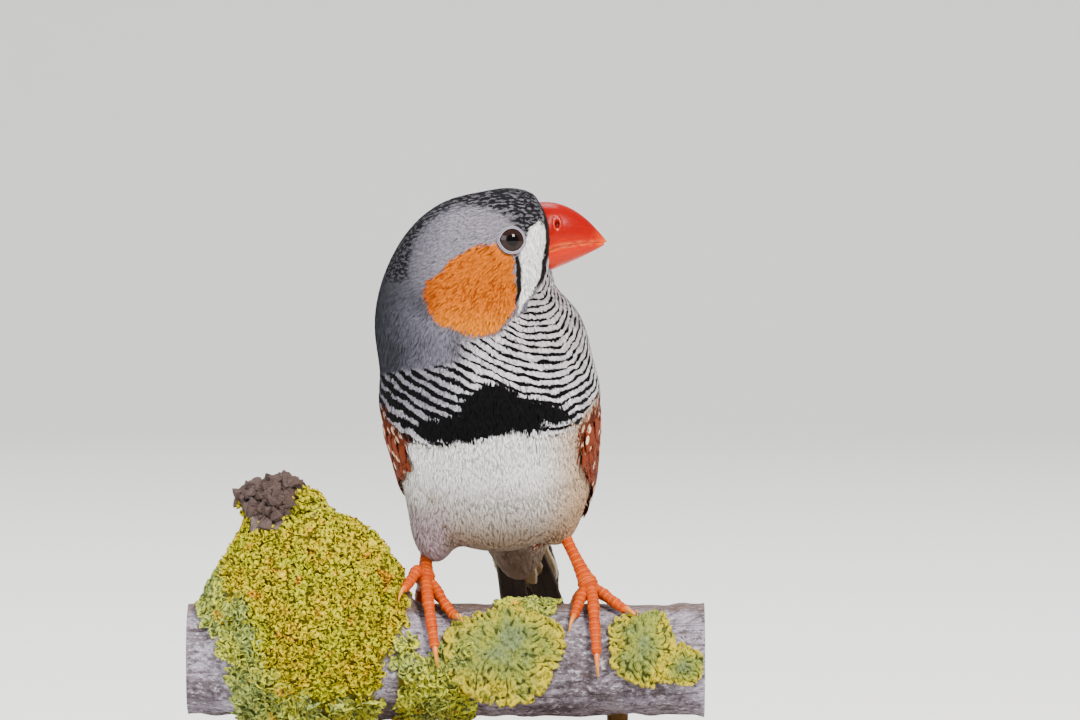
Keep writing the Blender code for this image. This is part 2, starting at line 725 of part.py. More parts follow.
def make_perch():
    """A short cut length of branch with a broken side shoot, sawn off square at both ends."""
    def rough(work):
        place = Matrix.Translation((-5, 0, -PERCH_RADIUS)) @ Matrix.Rotation(math.pi / 2, 4, "Y")
        bmesh.ops.create_cone(
            work, cap_ends=True, segments=32, radius1=PERCH_RADIUS, radius2=PERCH_RADIUS, depth=110, matrix=place
        )
        bmesh.ops.triangulate(work, faces=work.faces[:])
        add_mass(work, CRUST)
        start, end, radius, end_radius = SHOOT
        add_mass(work, (end, (end_radius,) * 3, 0.0))
        middle = (np.array(start) + np.array(end)) / 2
        add_mass(work, (tuple(middle), ((radius + end_radius) / 2, (radius + end_radius) / 2, 9.0), 0.0))

    perch = field_solid("perch", perch_field, rough, PERCH_VOXEL)
    cut_off(perch, (PERCH_RIGHT, 0, 0), (1, 0, 0), 0.0)
    cut_off(perch, (PERCH_LEFT, 0, 0), (-1, 0, 0), 0.0)
    return perch


def make_stand(perch_cutter):
    """A flat round base and two short rods up to the underside of the perch."""
    def disc(work):
        place = Matrix.Translation((0, 0, BASE_HEIGHT / 2))
        bmesh.ops.create_cone(
            work, cap_ends=True, segments=64, radius1=BASE_RADIUS, radius2=BASE_RADIUS, depth=BASE_HEIGHT, matrix=place
        )

    base = mesh_from("stand_base", disc)
    rounding = base.modifiers.new("rounding", "BEVEL")
    rounding.width = 1.2 * MM
    rounding.segments = 2
    rounding.limit_method = "ANGLE"
    rods = []
    foot_z = BASE_HEIGHT - PERCH_TOP + GAP
    for side, x in ROD_XS.items():
        rods.append(tube(f"stand_rod_{side}", [(x, 0, foot_z), (x, 0, -PERCH_RADIUS)], [ROD_RADIUS] * 2, 4))
    cutters = [perch_cutter, grown(perch_cutter, "perch_cutter_copy", 0.0)]
    return base, [combine("DIFFERENCE", rod, [cutter]) for rod, cutter in zip(rods, cutters)]


def finish(pieces, look, parent=None):
    for piece in pieces:
        piece.data.materials.clear()
        piece.data.materials.append(look)
        piece.parent = parent
        for polygon in piece.data.polygons:
            polygon.use_smooth = True


def copy_of(source, name):
    return link(name, source.data.copy())


def main():
    clear_scene()
    grey_down = make_material("grey_plumage", "8F8F96", 0.9)
    white_down = make_material("white_plumage", "E6E2DA", 0.9)
    brown_vanes = make_material("brown_flight_feathers", "6E5F50", 0.7)
    black_vanes = make_material("black_tail_feathers", "1E1B1A", 0.7)
    red_horn = make_material("red_bill", "D8281C", 0.3)
    orange_skin = make_material("orange_leg_skin", "E0601E", 0.5)
    pale_horn = make_material("claw_horn", "D08A3C", 0.35)
    dark_eye = make_material("eye", "1C1210", 0.06)
    bark = make_material("bark", "6B6468", 0.9)
    oak = make_material("stand_wood", "5A3E28", 0.5)
    brass = make_material("stand_brass", "B08D57", 0.35, 1.0)

    body = body_solid("torso", SKIN_VOXEL)
    cutter = grown(body, "body_cutter")
    neck = copy_of(body, "neck")
    cut_off(body, *NECK_CUT, -GAP / 2)
    back_way = tuple(-np.array(NECK_CUT[1]))
    cut_off(neck, NECK_CUT[0], back_way, -GAP / 2)
    cut_off(neck, *HEAD_CUT, -GAP / 2)

    skin = body_solid("head", HEAD_VOXEL)
    bill_cutters = [grown(skin, "bill_cutter_upper"), grown(skin, "bill_cutter_lower")]
    cut_off(skin, HEAD_CUT[0], tuple(-np.array(HEAD_CUT[1])), -GAP / 2)
    head = make_head(skin)
    bills = [make_bill(False, bill_cutters[0]), make_bill(True, bill_cutters[1])]
    eyes = make_eyes()

    wings = [make_wing("wing_right", -1), make_wing("wing_left", 1)]
    tail = make_tail(copy_of(cutter, "tail_cutter"))

    thighs = []
    shanks = []
    feet = []
    claws = []
    for foot, mass in THIGHS.items():
        thigh = mesh_from(f"thigh_{foot}", lambda work: add_mass(work, mass, 16, 12))
        thigh_cutter = grown(thigh, f"thigh_{foot}_cutter")
        thighs.append(combine("DIFFERENCE", thigh, [copy_of(cutter, f"thigh_{foot}_body")]))
        foot_solid = make_foot(foot)
        foot_cutter = grown(foot_solid, f"foot_{foot}_cutter")
        shanks.append(make_shank(foot, [thigh_cutter, copy_of(cutter, f"shank_{foot}_body"), foot_cutter]))
        feet.append(foot_solid)
        claws += [make_claw(foot, toe) for toe in TOES[foot]]
    bpy.data.objects.remove(cutter)

    perch = make_perch()
    base, rods = make_stand(grown(perch, "perch_cutter"))

    place = bpy.data.objects.new("bird_on_stand", None)
    bpy.context.scene.collection.objects.link(place)
    place.location = (BIRD_X * MM, BIRD_Y * MM, PERCH_TOP * MM)
    finish([head, neck], grey_down, place)
    finish([body, *thighs], white_down, place)
    finish(wings, brown_vanes, place)
    finish([tail], black_vanes, place)
    finish(bills, red_horn, place)
    finish(eyes, dark_eye, place)
    finish([*shanks, *feet], orange_skin, place)
    finish(claws, pale_horn, place)
    finish([perch], bark, place)
    finish(rods, brass, place)
    finish([base], oak)


if __name__ == "__main__":
    main()
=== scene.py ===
"""A life-size male zebra finch on a short length of lichen-covered branch, held up by a plain display stand.

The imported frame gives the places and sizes. One skin and its coat of small feathers stand for the solids
of flesh, and finer vanes stand for the wings and tail. Sizes in the tables are millimetres in the bird's own
frame, whose origin is on top of the perch: +X is its left, -Y is where the breast faces and +Z is up.
"""

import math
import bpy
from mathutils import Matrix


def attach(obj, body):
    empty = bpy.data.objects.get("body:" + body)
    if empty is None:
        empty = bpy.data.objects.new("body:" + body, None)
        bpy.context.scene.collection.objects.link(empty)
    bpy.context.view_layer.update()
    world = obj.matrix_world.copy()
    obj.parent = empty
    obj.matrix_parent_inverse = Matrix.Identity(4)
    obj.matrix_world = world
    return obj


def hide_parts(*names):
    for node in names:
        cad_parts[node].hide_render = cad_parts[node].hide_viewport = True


bl_info = {
    "name": "Zebra Finch on a Perch",
    "version": (1, 0, 0),
    "blender": (4, 5, 0),
    "location": "View3D > Sidebar > Finch",
    "description": "Builds a male zebra finch with its feathers, its perch and its display stand",
    "category": "Add Mesh",
}

from functools import partial

import bmesh
import bpy
import numpy as np
from bpy.props import FloatProperty, FloatVectorProperty, IntProperty, PointerProperty
from mathutils import Matrix, Vector
from mathutils.kdtree import KDTree

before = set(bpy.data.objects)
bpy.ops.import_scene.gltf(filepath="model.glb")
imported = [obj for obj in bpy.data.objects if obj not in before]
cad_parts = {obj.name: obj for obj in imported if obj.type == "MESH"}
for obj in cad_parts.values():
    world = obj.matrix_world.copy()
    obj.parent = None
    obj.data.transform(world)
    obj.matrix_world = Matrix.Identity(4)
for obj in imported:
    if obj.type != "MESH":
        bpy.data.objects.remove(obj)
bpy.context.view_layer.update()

MM = 0.001
BIRD_PLACE = np.array([6.0, -12.5, 32.0])  # the bird's origin over the middle of the stand's underside
BASE_RADIUS = 44.0
BASE_HEIGHT = 6.0
PERCH_RADIUS = 8.6
PERCH_LEFT = -45.5
PERCH_RIGHT = 32.0
TAIL_LENGTH = 39.0
BILL_LENGTH = 9.3
BILL_DEPTH = 10.6
BILL_WIDTH = 7.8
BILL_BASE_X = 8.1
BILL_TIP_Z = 54.2
EYE_X = 3.2
EYE_Z = 54.7
EYE_RADIUS = 2.5
EYE_OPENING = 1.72
HEAD_MIDDLE_Y = -5.0
TOE_RADIUS = 0.85
TARSUS_RADIUS = 1.1
GAP = 0.3
BLEND = 4.5

# Masses of the body: centre, radii, pitch about X in degrees
BODY_MASSES = {
    "breast": ((-0.2, -2.5, 31.0), (16.6, 15.0, 14.2), 0.0),
    "belly": ((0.9, 2.0, 20.6), (14.6, 12.6, 13.0), 0.0),
    "back": ((0.0, 6.0, 29.0), (14.0, 10.5, 18.0), 28.0),
    "rump": ((3.0, 13.0, 16.2), (6.4, 6.2, 12.0), 45.0),
    "neck": ((-1.2, -2.5, 40.5), (14.8, 12.4, 9.7), 0.0),
    "nape": ((-8.0, -1.5, 44.6), (8.8, 9.8, 11.1), 0.0),
    "head": ((-1.8, -5.0, 52.2), (10.8, 8.2, 9.2), 0.0),
    "face": ((2.6, -5.0, 54.5), (5.2, 6.6, 6.3), 0.0),
    "forehead": ((4.5, -5.0, 56.4), (3.8, 5.2, 4.2), 0.0),
}
TAIL_ROOT = ((4.2, 19.5, 9.0), (4.3, 3.6, 9.0), 42.0)
THIGHS = {
    "right": ((-8.4, 1.6, 13.4), (3.9, 4.8, 7.6), 14.0),
    "left": ((9.7, 3.2, 14.8), (3.9, 4.5, 6.4), 12.0),
}
ANKLES = {"right": (-9.7, 7.4, 10.4), "left": (9.7, 4.6, 12.4)}
FOOT_JOINTS = {"right": (-9.9, -1.2, 3.5), "left": (14.7, -1.6, 2.6)}

# Toes: x at the root and at the tip, then degrees round the perch at both, from its top towards the front
TOES = {
    "right": {
        "outer": (-10.6, -12.9, 4.0, 30.0),
        "middle": (-9.9, -8.3, 10.0, 76.0),
        "inner": (-9.2, -5.4, 6.0, 44.0),
        "hallux": (-10.2, -11.4, -14.0, -58.0),
    },
    "left": {
        "outer": (15.4, 20.2, 4.0, 34.0),
        "middle": (15.1, 15.8, 10.0, 82.0),
        "inner": (14.2, 12.4, 6.0, 44.0),
        "hallux": (14.2, 11.0, -14.0, -60.0),
    },
}

SHOOT = ((-28.0, -1.0, -4.0), (-31.5, -1.0, 12.6), 11.0, 6.0)
CRUST = ((-27.3, -2.5, -3.0), (15.3, 9.5, 17.0), 0.0)
ROSETTES = (
    ((2.4, -8.4, -7.5), (8.4, 1.2, 6.6)),
    ((24.4, -8.2, -6.4), (4.6, 1.3, 5.2)),
)

# Wing feathers in tiers: count, root and tip of the first feather, root and tip of the last, each a station
# along the body and an angle round it from the back, half width, and height over the body at both ends
WING_TIERS = {
    "primaries": (8, (-0.5, 74.0), (-26.0, 32.0), (-2.5, 65.0), (-16.5, 47.0), 2.0, 0.85, 1.45),
    "secondaries": (8, (0.5, 72.0), (-13.5, 58.0), (1.5, 50.0), (-16.5, 36.0), 2.1, 1.1, 1.45),
    "tertials": (3, (1.5, 47.0), (-18.5, 26.0), (2.5, 33.0), (-11.5, 20.0), 3.0, 1.45, 1.75),
    "greater_coverts": (10, (5.5, 74.0), (-4.5, 70.0), (5.0, 32.0), (-5.0, 25.0), 2.1, 1.35, 1.75),
    "median_coverts": (9, (9.5, 71.0), (1.0, 70.0), (9.5, 38.0), (1.0, 32.0), 2.2, 1.2, 1.95),
}
WING_CORE = ((1.0, 12.0), (52.0, 25.0), (1.2, 0.85))
WING_TURN = {-1: -18.0, 1: -33.0}  # how far each wing is turned down round the body, in degrees


def colour_of(code):
    """Linear colour from an sRGB hex code."""
    channels = [int(code[i:i + 2], 16) / 255 for i in (0, 2, 4)]
    return [c / 12.92 if c <= 0.04045 else ((c + 0.055) / 1.055) ** 2.4 for c in channels] + [1.0]


def unit(vectors):
    vectors = np.asarray(vectors, float)
    return vectors / np.maximum(np.linalg.norm(vectors, axis=-1, keepdims=True), 1e-9)


def direction_of(pitch, yaw):
    """A direction that many degrees above the horizontal, turned from +Y towards +X."""
    p = math.radians(pitch)
    y = math.radians(yaw)
    return np.array([math.sin(y) * math.cos(p), math.cos(y) * math.cos(p), math.sin(p)])


BODY_CENTRE = np.array([0.8, 2.0, 27.0])
BODY_AXIS = direction_of(55.0, 186.0)  # along the body towards the head
BODY_BACK = direction_of(35.0, 6.0)  # square to that, out of the back
BODY_LEFT = np.cross(BODY_BACK, BODY_AXIS)
TAIL_AXIS = direction_of(-48.0, 15.0)
TAIL_SIDE = unit(np.cross(TAIL_AXIS, (0, 0, 1)))
TAIL_UP = np.cross(TAIL_SIDE, TAIL_AXIS)


def ramp(values, start, end):
    """A smooth rise from 0 at start to 1 at end."""
    share = np.clip((np.asarray(values, float) - start) / (end - start), 0, 1)
    return share * share * (3 - 2 * share)


def turns(count):
    """Angles evenly round a circle."""
    return np.linspace(0, 2 * math.pi, count, endpoint=False)


def pitch_matrix(degrees):
    """Turns about X, so that a positive pitch leans the top of a mass forwards."""
    c = math.cos(math.radians(degrees))
    s = math.sin(math.radians(degrees))
    return np.array([[1, 0, 0], [0, c, -s], [0, s, c]])


def mass_distance(points, mass):
    """Signed distance, near enough, from points to one ellipsoid."""
    centre, radii, pitch = mass
    local = (points - np.array(centre)) @ pitch_matrix(pitch)
    radii = np.array(radii)
    reach = np.linalg.norm(local / radii, axis=1)
    slope = np.linalg.norm(local / radii ** 2, axis=1)
    return reach * (reach - 1) / np.maximum(slope, 1e-9)


def soft_union(first, second, width):
    share = np.clip(0.5 + 0.5 * (second - first) / width, 0, 1)
    return second + (first - second) * share - width * share * (1 - share)


def body_field(points):
    """Signed distance from points to the outside of the coat on the body, in millimetres."""
    total = None
    for mass in BODY_MASSES.values():
        one = mass_distance(points, mass)
        total = one if total is None else soft_union(total, one, BLEND)
    return total


def support_field(points):
    """The body with the tail's root, which the folded wings lie on."""
    return soft_union(body_field(points), mass_distance(points, TAIL_ROOT), BLEND)


def flesh_field(points):
    """The body with the tail's root and both thighs, as one skin covers them."""
    total = support_field(points)
    for mass in THIGHS.values():
        total = soft_union(total, mass_distance(points, mass), 2.0)
    return total


def segment_distance(points, start, end):
    """Distance from points to a segment, and how far along it they are, from 0 to 1."""
    run = np.array(end) - start
    gap = points - start
    share = np.clip(gap @ run / (run @ run), 0, 1)
    return np.linalg.norm(gap - share[:, None] * run, axis=1), share


def rod_distance(points, start, end, start_radius, end_radius):
    """Signed distance, near enough, to a tapered round-ended rod."""
    reach, share = segment_distance(points, start, end)
    return reach - start_radius - (end_radius - start_radius) * share


def perch_field(points):
    """The branch, the broken side shoot with its lichen crust, and the lichen rosettes in front."""
    sway = 0.35 * np.sin(points[:, 0] / 9.0) + 0.2 * np.sin(points[:, 0] / 4.1 + 1.3)
    branch = rod_distance(points, (-70, 0, -PERCH_RADIUS), (60, 0, -PERCH_RADIUS), PERCH_RADIUS, PERCH_RADIUS)
    near_feet = np.exp(-((points[:, 0] - 2.5) / 17.0) ** 4)
    branch = branch + sway * (1 - near_feet)
    shoot = rod_distance(points, *SHOOT)
    total = soft_union(soft_union(branch, shoot, 4.0), mass_distance(points, CRUST), 3.0)
    for centre, radii in ROSETTES:
        total = soft_union(total, mass_distance(points, (centre, radii, 0.0)), 0.8)
    return total


def normals_at(field, points):
    step = 0.05
    slopes = [field(points + step * axis) - field(points - step * axis) for axis in np.eye(3)]
    return unit(np.stack(slopes, 1))


def out_to(field, origins, directions, height):
    """Points along rays where the field reaches a height, found by halving."""
    low = np.zeros(len(origins))
    high = np.full(len(origins), 40.0)
    for _ in range(26):
        middle = (low + high) / 2
        inside = field(origins + directions * middle[:, None]) < height
        low = np.where(inside, middle, low)
        high = np.where(inside, high, middle)
    return origins + directions * high[:, None]


def on_body(stations, angles, side, heights):
    """Points over the body. A station is millimetres along the body axis towards the head, an angle is
    degrees round it from the back, and side is 1 for the left and -1 for the right."""
    stations = np.asarray(stations, float)
    turn = np.radians(np.asarray(angles, float))
    heights = np.broadcast_to(np.asarray(heights, float), stations.shape)
    origins = BODY_CENTRE + stations[:, None] * BODY_AXIS
    rays = np.cos(turn)[:, None] * BODY_BACK + side * np.sin(turn)[:, None] * BODY_LEFT
    return out_to(support_field, origins, rays, heights)


def on_perch(xs, angles, heights):
    """Points over the perch's bark, by x and by degrees round it from the top towards the front."""
    xs = np.asarray(xs, float)
    turn = np.radians(np.asarray(angles, float))
    origins = np.stack([xs, 0 * xs, 0 * xs - PERCH_RADIUS], 1)
    rays = np.stack([0 * xs, -np.sin(turn), np.cos(turn)], 1)
    return out_to(perch_field, origins, rays, np.asarray(heights, float))


def waves(points, size, seed):
    """Soft irregular hills between about -1 and 1, that size in millimetres from hill to hill."""
    chance = np.random.default_rng(seed)
    total = np.zeros(len(points))
    for _ in range(7):
        way = unit(chance.normal(size=3))
        length = size * chance.uniform(0.7, 1.6)
        total += np.sin(points @ way * 2 * math.pi / length + chance.uniform(0, 2 * math.pi))
    return total / 3.2


# Making meshes

def in_scene(name, data):
    """An object of a mesh, lamp or camera, in the scene."""
    made = bpy.data.objects.new(name, data)
    bpy.context.scene.collection.objects.link(made)
    return made


def mesh_object(name, points, faces):
    """A mesh object from points in bird millimetres and faces that all have the same number of corners."""
    faces = np.asarray(faces, np.int32)
    mesh = bpy.data.meshes.new(name)
    mesh.vertices.add(len(points))
    place_points(mesh, points)
    mesh.loops.add(faces.size)
    mesh.loops.foreach_set("vertex_index", faces.ravel())
    mesh.polygons.add(len(faces))
    mesh.polygons.foreach_set("loop_start", np.arange(len(faces), dtype=np.int32) * faces.shape[1])
    mesh.shade_smooth()
    mesh.update(calc_edges=True)
    return in_scene(name, mesh)


def rows_of(items, name, width, kind=float):
    """What each of a mesh's items holds under a name, as rows."""
    values = np.zeros(len(items) * width, kind)
    items.foreach_get(name, values)
    return values.reshape(-1, width)


def bird_points(made):
    """A mesh object's vertices in bird millimetres."""
    return rows_of(made.data.vertices, "co", 3) / MM - BIRD_PLACE


def place_points(mesh, points):
    """Moves a mesh's vertices to points in bird millimetres."""
    mesh.vertices.foreach_set("co", ((np.asarray(points) + BIRD_PLACE) * MM).astype(np.float32).ravel())


def give_vector(made, name, values):
    attribute = made.data.attributes.new(name, "FLOAT_VECTOR", "POINT")
    attribute.data.foreach_set("vector", np.asarray(values, np.float32).ravel())


def give_uv(made, name, values):
    """A UV map from one pair of values for each vertex."""
    layer = made.data.uv_layers.new(name=name)
    corners = rows_of(made.data.loops, "vertex_index", 1, np.int32)[:, 0]
    layer.data.foreach_set("uv", np.asarray(values, np.float32)[corners].ravel())


def plain_copy(source, name):
    """A mesh object of what the viewport shows, with its place in its mesh, in the source's stead."""
    bpy.context.view_layer.update()
    graph = bpy.context.evaluated_depsgraph_get()
    mesh = bpy.data.meshes.new_from_object(source.evaluated_get(graph))
    mesh.transform(source.matrix_world)
    bpy.data.objects.remove(source)
    mesh.name = name
    return in_scene(name, mesh)


def add_mass(work, mass, segments=24, rings=16):
    """An ellipsoid in a bmesh, in bird millimetres."""
    centre, radii, pitch = mass
    turn = Matrix(pitch_matrix(pitch).tolist()).to_4x4()
    place = Matrix.Translation(centre) @ turn @ Matrix.Diagonal((*radii, 1.0))
    bmesh.ops.create_uvsphere(work, u_segments=segments, v_segments=rings, radius=1.0, matrix=place)


def field_surface(name, rough, voxel, field, rounds=10):
    """A closed even mesh of a field's zero surface, started from rough overlapping solids."""
    work = bmesh.new()
    rough(work)
    bmesh.ops.scale(work, vec=(MM, MM, MM), verts=work.verts[:])
    bmesh.ops.translate(work, vec=Vector(BIRD_PLACE * MM), verts=work.verts[:])
    mesh = bpy.data.meshes.new(name)
    work.to_mesh(mesh)
    work.free()
    block = in_scene(name, mesh)
    remesh = block.modifiers.new("voxels", "REMESH")
    remesh.mode = "VOXEL"
    remesh.voxel_size = voxel * MM
    block = plain_copy(block, name)
    points = bird_points(block)
    edges = rows_of(block.data.edges, "vertices", 2, int)
    degree = np.bincount(edges.ravel(), minlength=len(points))[:, None]
    for turn in range(rounds):
        if turn < rounds - 2:
            sums = np.stack([
                np.bincount(edges[:, 0], points[edges[:, 1], axis], len(points))
                + np.bincount(edges[:, 1], points[edges[:, 0], axis], len(points))
                for axis in range(3)
            ], 1)
            points = points + 0.6 * (sums / degree - points)
        for _ in range(2):
            points = points - field(points)[:, None] * normals_at(field, points)
    place_points(block.data, points)
    block.data.shade_smooth()
    block.data.update()
    return block


# Markings of the coat, as fields over the body that skin and feathers share

CHEEK = (
    (-7.65, 49.8), (-5.9, 51.7), (-4.7, 52.4), (-3.2, 53.3), (-2.0, 53.9), (0.3, 54.0), (1.0, 53.3),
    (2.0, 52.8), (3.4, 52.1), (3.6, 51.4), (3.4, 50.0), (3.7, 48.6), (4.0, 47.1), (3.8, 44.8), (3.0, 43.4),
    (1.9, 42.2), (0.9, 41.0), (-0.7, 40.7), (-3.3, 40.5), (-4.5, 41.2), (-7.4, 42.0), (-8.6, 43.4),
    (-9.6, 44.8), (-10.0, 46.9), (-9.4, 48.5)
)
LORE = (
    (4.3, 52.3), (5.1, 54.0), (5.8, 56.2), (7.2, 57.4), (8.4, 56.0), (8.7, 52.6), (7.9, 51.4), (7.8, 50.4),
    (7.5, 48.6), (6.6, 47.4), (5.9, 46.4), (4.8, 45.0), (4.1, 43.8), (4.3, 46.0), (4.7, 48.5), (4.6, 50.4)
)
TEAR_LINE = ((3.8, 52.4), (4.05, 51.4), (4.2, 50.2), (4.15, 48.6), (4.3, 47.3), (4.05, 46.2), (3.7, 45.2))
TEAR_HALVES = (0.22, 0.34, 0.36, 0.36, 0.32, 0.24, 0.1)
BILL_LINE = ((7.3, 60.6), (8.0, 59.0), (8.35, 57.2), (8.4, 55.6), (8.35, 54.0), (8.1, 52.6))
BILL_HALVES = (0.1, 0.24, 0.3, 0.24, 0.2, 0.22)
MALAR_LINE = ((8.8, 53.0), (8.0, 51.5), (7.9, 50.2), (7.6, 48.8), (6.9, 47.8), (6.1, 47.0))
MALAR_HALVES = (0.25, 0.38, 0.34, 0.28, 0.16, 0.05)
BAND = (
    (-10.8, 28.1), (-8.6, 28.3), (-6.5, 28.65), (-4.55, 29.4), (-4.65, 30.45), (-3.6, 31.9), (-2.4, 32.6),
    (-1.1, 33.55), (1.7, 33.9), (2.6, 33.3), (4.5, 32.6), (4.65, 31.65), (7.4, 31.2), (9.8, 30.45),
    (11.2, 29.7), (12.3, 28.0), (9.8, 27.1), (8.1, 27.8), (7.9, 26.6), (5.7, 25.9), (3.3, 26.6), (1.7, 25.9),
    (-2.2, 25.1), (-4.5, 24.8), (-7.4, 24.5), (-9.3, 25.4), (-11.0, 26.4)
)
BELLY_TOP = (
    (-22.0, 27.0), (-15.6, 26.2), (-12.6, 24.6), (-9.3, 24.1), (-4.5, 24.2), (-1.9, 25.0), (2.0, 26.0),
    (4.0, 26.2), (6.4, 25.5), (9.8, 25.8), (13.0, 27.0), (15.5, 31.0), (22.0, 34.0)
)
FLANK_RIGHT = (
    (-20.0, 30.6), (-16.4, 30.0), (-15.2, 27.6), (-13.6, 26.0), (-12.0, 24.8), (-12.5, 22.8), (-13.6, 20.8),
    (-14.0, 18.6), (-20.0, 18.6),
)
FLANK_LEFT = (
    (20.0, 32.0), (16.2, 31.6), (15.2, 29.4), (13.6, 27.4), (13.0, 24.8), (12.8, 22.8), (13.6, 20.4),
    (14.6, 18.2), (20.0, 18.2)
)
STRIPE_CENTRE = np.array([5.5, -7.5, 51.5])
STRIPE_FIRST = 0.92  # spacing of the dark bars at the throat
STRIPE_GROWTH = 0.014  # and how much it grows for each millimetre away from there


def outline_distance(flat, corners):
    """Signed distance in a plane from points to a closed outline, negative inside."""
    corners = np.array(corners)
    best = np.full(len(flat), 1e9)
    inside = np.zeros(len(flat), bool)
    for first, second in zip(corners, np.roll(corners, -1, axis=0)):
        best = np.minimum(best, segment_distance(flat, first, second)[0])
        run = second - first
        rise = run[1] if abs(run[1]) > 1e-9 else 1e-9
        crosses = (first[1] > flat[:, 1]) != (second[1] > flat[:, 1])
        inside ^= crosses & (flat[:, 0] < first[0] + (flat[:, 1] - first[1]) * run[0] / rise)
    return np.where(inside, -best, best)


def line_distance(flat, knots, halves):
    """Distance in a plane from points to the edge of a line whose half width changes along it."""
    best = np.full(len(flat), 1e9)
    for first, second, start, end in zip(knots, knots[1:], halves, halves[1:]):
        reach, share = segment_distance(flat, first, second)
        best = np.minimum(best, reach - start - (end - start) * share)
    return best


def body_chart(points):
    """Station along the body axis and degrees round it from the back, at points."""
    gap = points - BODY_CENTRE
    around = np.degrees(np.arctan2(np.abs(gap @ BODY_LEFT), gap @ BODY_BACK))
    return gap @ BODY_AXIS, around


def marks_at(points):
    """Markings at points, with the neck's painted shade: three vectors of signed distances, amounts and the
    phase of the dark bars.
    """
    flat = points[:, [0, 2]]
    x, y, z = points.T
    station, around = body_chart(points)
    side_face = 3.4 - np.abs(y - HEAD_MIDDLE_Y)
    front = y - 0.5
    cheek = np.maximum(outline_distance(flat, CHEEK), side_face)
    lore = np.maximum(outline_distance(flat, LORE), side_face + 0.6)
    tear = np.maximum(line_distance(flat, TEAR_LINE, TEAR_HALVES), side_face)
    malar = np.maximum(line_distance(flat, MALAR_LINE, MALAR_HALVES), side_face + 0.4)
    base = line_distance(flat, BILL_LINE, BILL_HALVES)
    beyond = np.interp(z, [p[1] for p in BILL_LINE[::-1]], [p[0] for p in BILL_LINE[::-1]]) - x
    base = np.minimum(base, np.maximum(beyond, np.abs(z - 56.2) - 4.0))
    lines = np.minimum(np.minimum(tear, malar), base)
    band = np.maximum(outline_distance(flat, BAND), front)
    belly_line = np.interp(x, [p[0] for p in BELLY_TOP], [p[1] for p in BELLY_TOP])
    belly = np.maximum(z - belly_line, 100 - around)
    belly = np.where(y > 4, np.maximum(z - 14 + 0.15 * (y - 4), 96 - around), belly)
    belly = np.minimum(belly, station + 18.0)
    flank = np.minimum(outline_distance(flat, FLANK_RIGHT), outline_distance(flat, FLANK_LEFT))
    side_flank = np.maximum(np.maximum(76 - around, around - 112) * 0.22, station - 3.5)
    side_flank = np.maximum(side_flank, -19 - station)
    flank = np.where(y > 0, side_flank, np.minimum(flank, side_flank))
    centre = STRIPE_CENTRE - np.stack([0 * x, 7.0 * ramp(x, -4, 18), 0 * x], 1)
    reach = np.linalg.norm(points - centre, axis=1)
    reach = reach + 0.22 * waves(points, 5.0, 11) + 0.1 * waves(points, 2.2, 12)
    phase = np.log(1 + STRIPE_GROWTH * reach / STRIPE_FIRST) / STRIPE_GROWTH
    facing = np.degrees(np.arctan2(x, -y))
    low = ramp(z + 0.08 * (x + 20), 38.5, 32.5)
    left_edge = -14 - 79 * low
    right_edge = 122 - 24 * ramp(z, 42, 34)
    bars = ramp(facing, left_edge - 12, left_edge + 12) * ramp(facing, right_edge + 8, right_edge - 8)
    bars = bars * ramp(z - 1.3 * np.clip(x - 5.5, 0, 3), 50.5, 46.5)
    bars = bars * ramp(cheek, 0.0, 1.0) * ramp(lore, 0.0, 0.8) * ramp(y, 12, 6)
    bars = np.where((z > 44) & (x < 5.5), 0, bars)
    round_face = ((x + 3.0) / 10.5) ** 2 + ((z - 50.0) / 11.0) ** 2
    crown = ramp(round_face, 0.62, 0.95) * ramp(z, 46.0, 50.5) * ramp(x, 8.6, 7.4)
    crown = np.maximum(crown, 0.8 * ramp(y, -2.0, 2.0) * ramp(z, 45.0, 54.0))
    # The nape amount is painted shade: the coat is darkened nearly to black round the back of the neck and on
    # the side turned from the light
    nape = np.maximum(ramp(facing, -22, -72), ramp(facing, 95, 130))
    back = ramp(around, 84, 70) * ramp(z, 45, 38) * ramp(y, 1, 5)
    above_tail = (points - np.array(TAIL_ROOT[0])) @ TAIL_UP
    rump = ramp(station, -10, -15) * ramp(around, 62, 48) * ramp(above_tail, -0.5, 1.0)
    return (
        np.stack([cheek, lore, lines], 1),
        np.stack([band, belly, flank], 1),
        np.stack([phase, np.clip(bars, 0, 1), np.clip(crown, 0, 1)], 1),
        np.stack([np.clip(back, 0, 1), np.clip(rump, 0, 1), nape], 1),
    )


# The coat of feathers

FEATHER_KINDS = {  # depth of the coat, then length, width and spacing of its feathers
    "face": (0.28, 1.2, 0.22, 0.17),
    "head": (0.45, 2.3, 0.28, 0.20),
    "neck": (0.65, 3.2, 0.33, 0.24),
    "breast": (0.75, 3.2, 0.46, 0.27),
    "belly": (0.80, 5.4, 0.50, 0.29),
    "back": (0.90, 4.4, 0.95, 0.42),
}


def coat_measures(points):
    """Depth of the coat, and length, width and spacing of its feathers, at points over the body."""
    x, y, z = points.T
    near_bill = np.exp(-(np.linalg.norm(points - (9.0, HEAD_MIDDLE_Y, 54.0), axis=1) / 5.6) ** 4)
    sides = np.abs(y - HEAD_MIDDLE_Y)
    near_eye = np.exp(-(np.hypot(x - EYE_X, z - EYE_Z) / 3.1) ** 4) * (sides > 2)
    face = np.maximum(near_bill, near_eye)
    head = ramp(z, 43.5, 48.0)
    neck = ramp(z, 33.0, 39.0)
    rear = ramp(y - 0.3 * (30 - z), 2.0, 8.0)
    belly = ramp(z, 29.0, 23.0)
    table = {name: np.array(row) for name, row in FEATHER_KINDS.items()}
    low = table["breast"] + (table["belly"] - table["breast"]) * belly[:, None]
    low = low + (table["back"] - low) * rear[:, None]
    middle = low + (table["neck"] - low) * neck[:, None]
    high = middle + (table["head"] - middle) * head[:, None]
    return high + (table["face"] - high) * face[:, None]


def skin_field(points):
    """Signed distance to the skin itself, under the coat."""
    return flesh_field(points) + coat_measures(points)[:, 0]


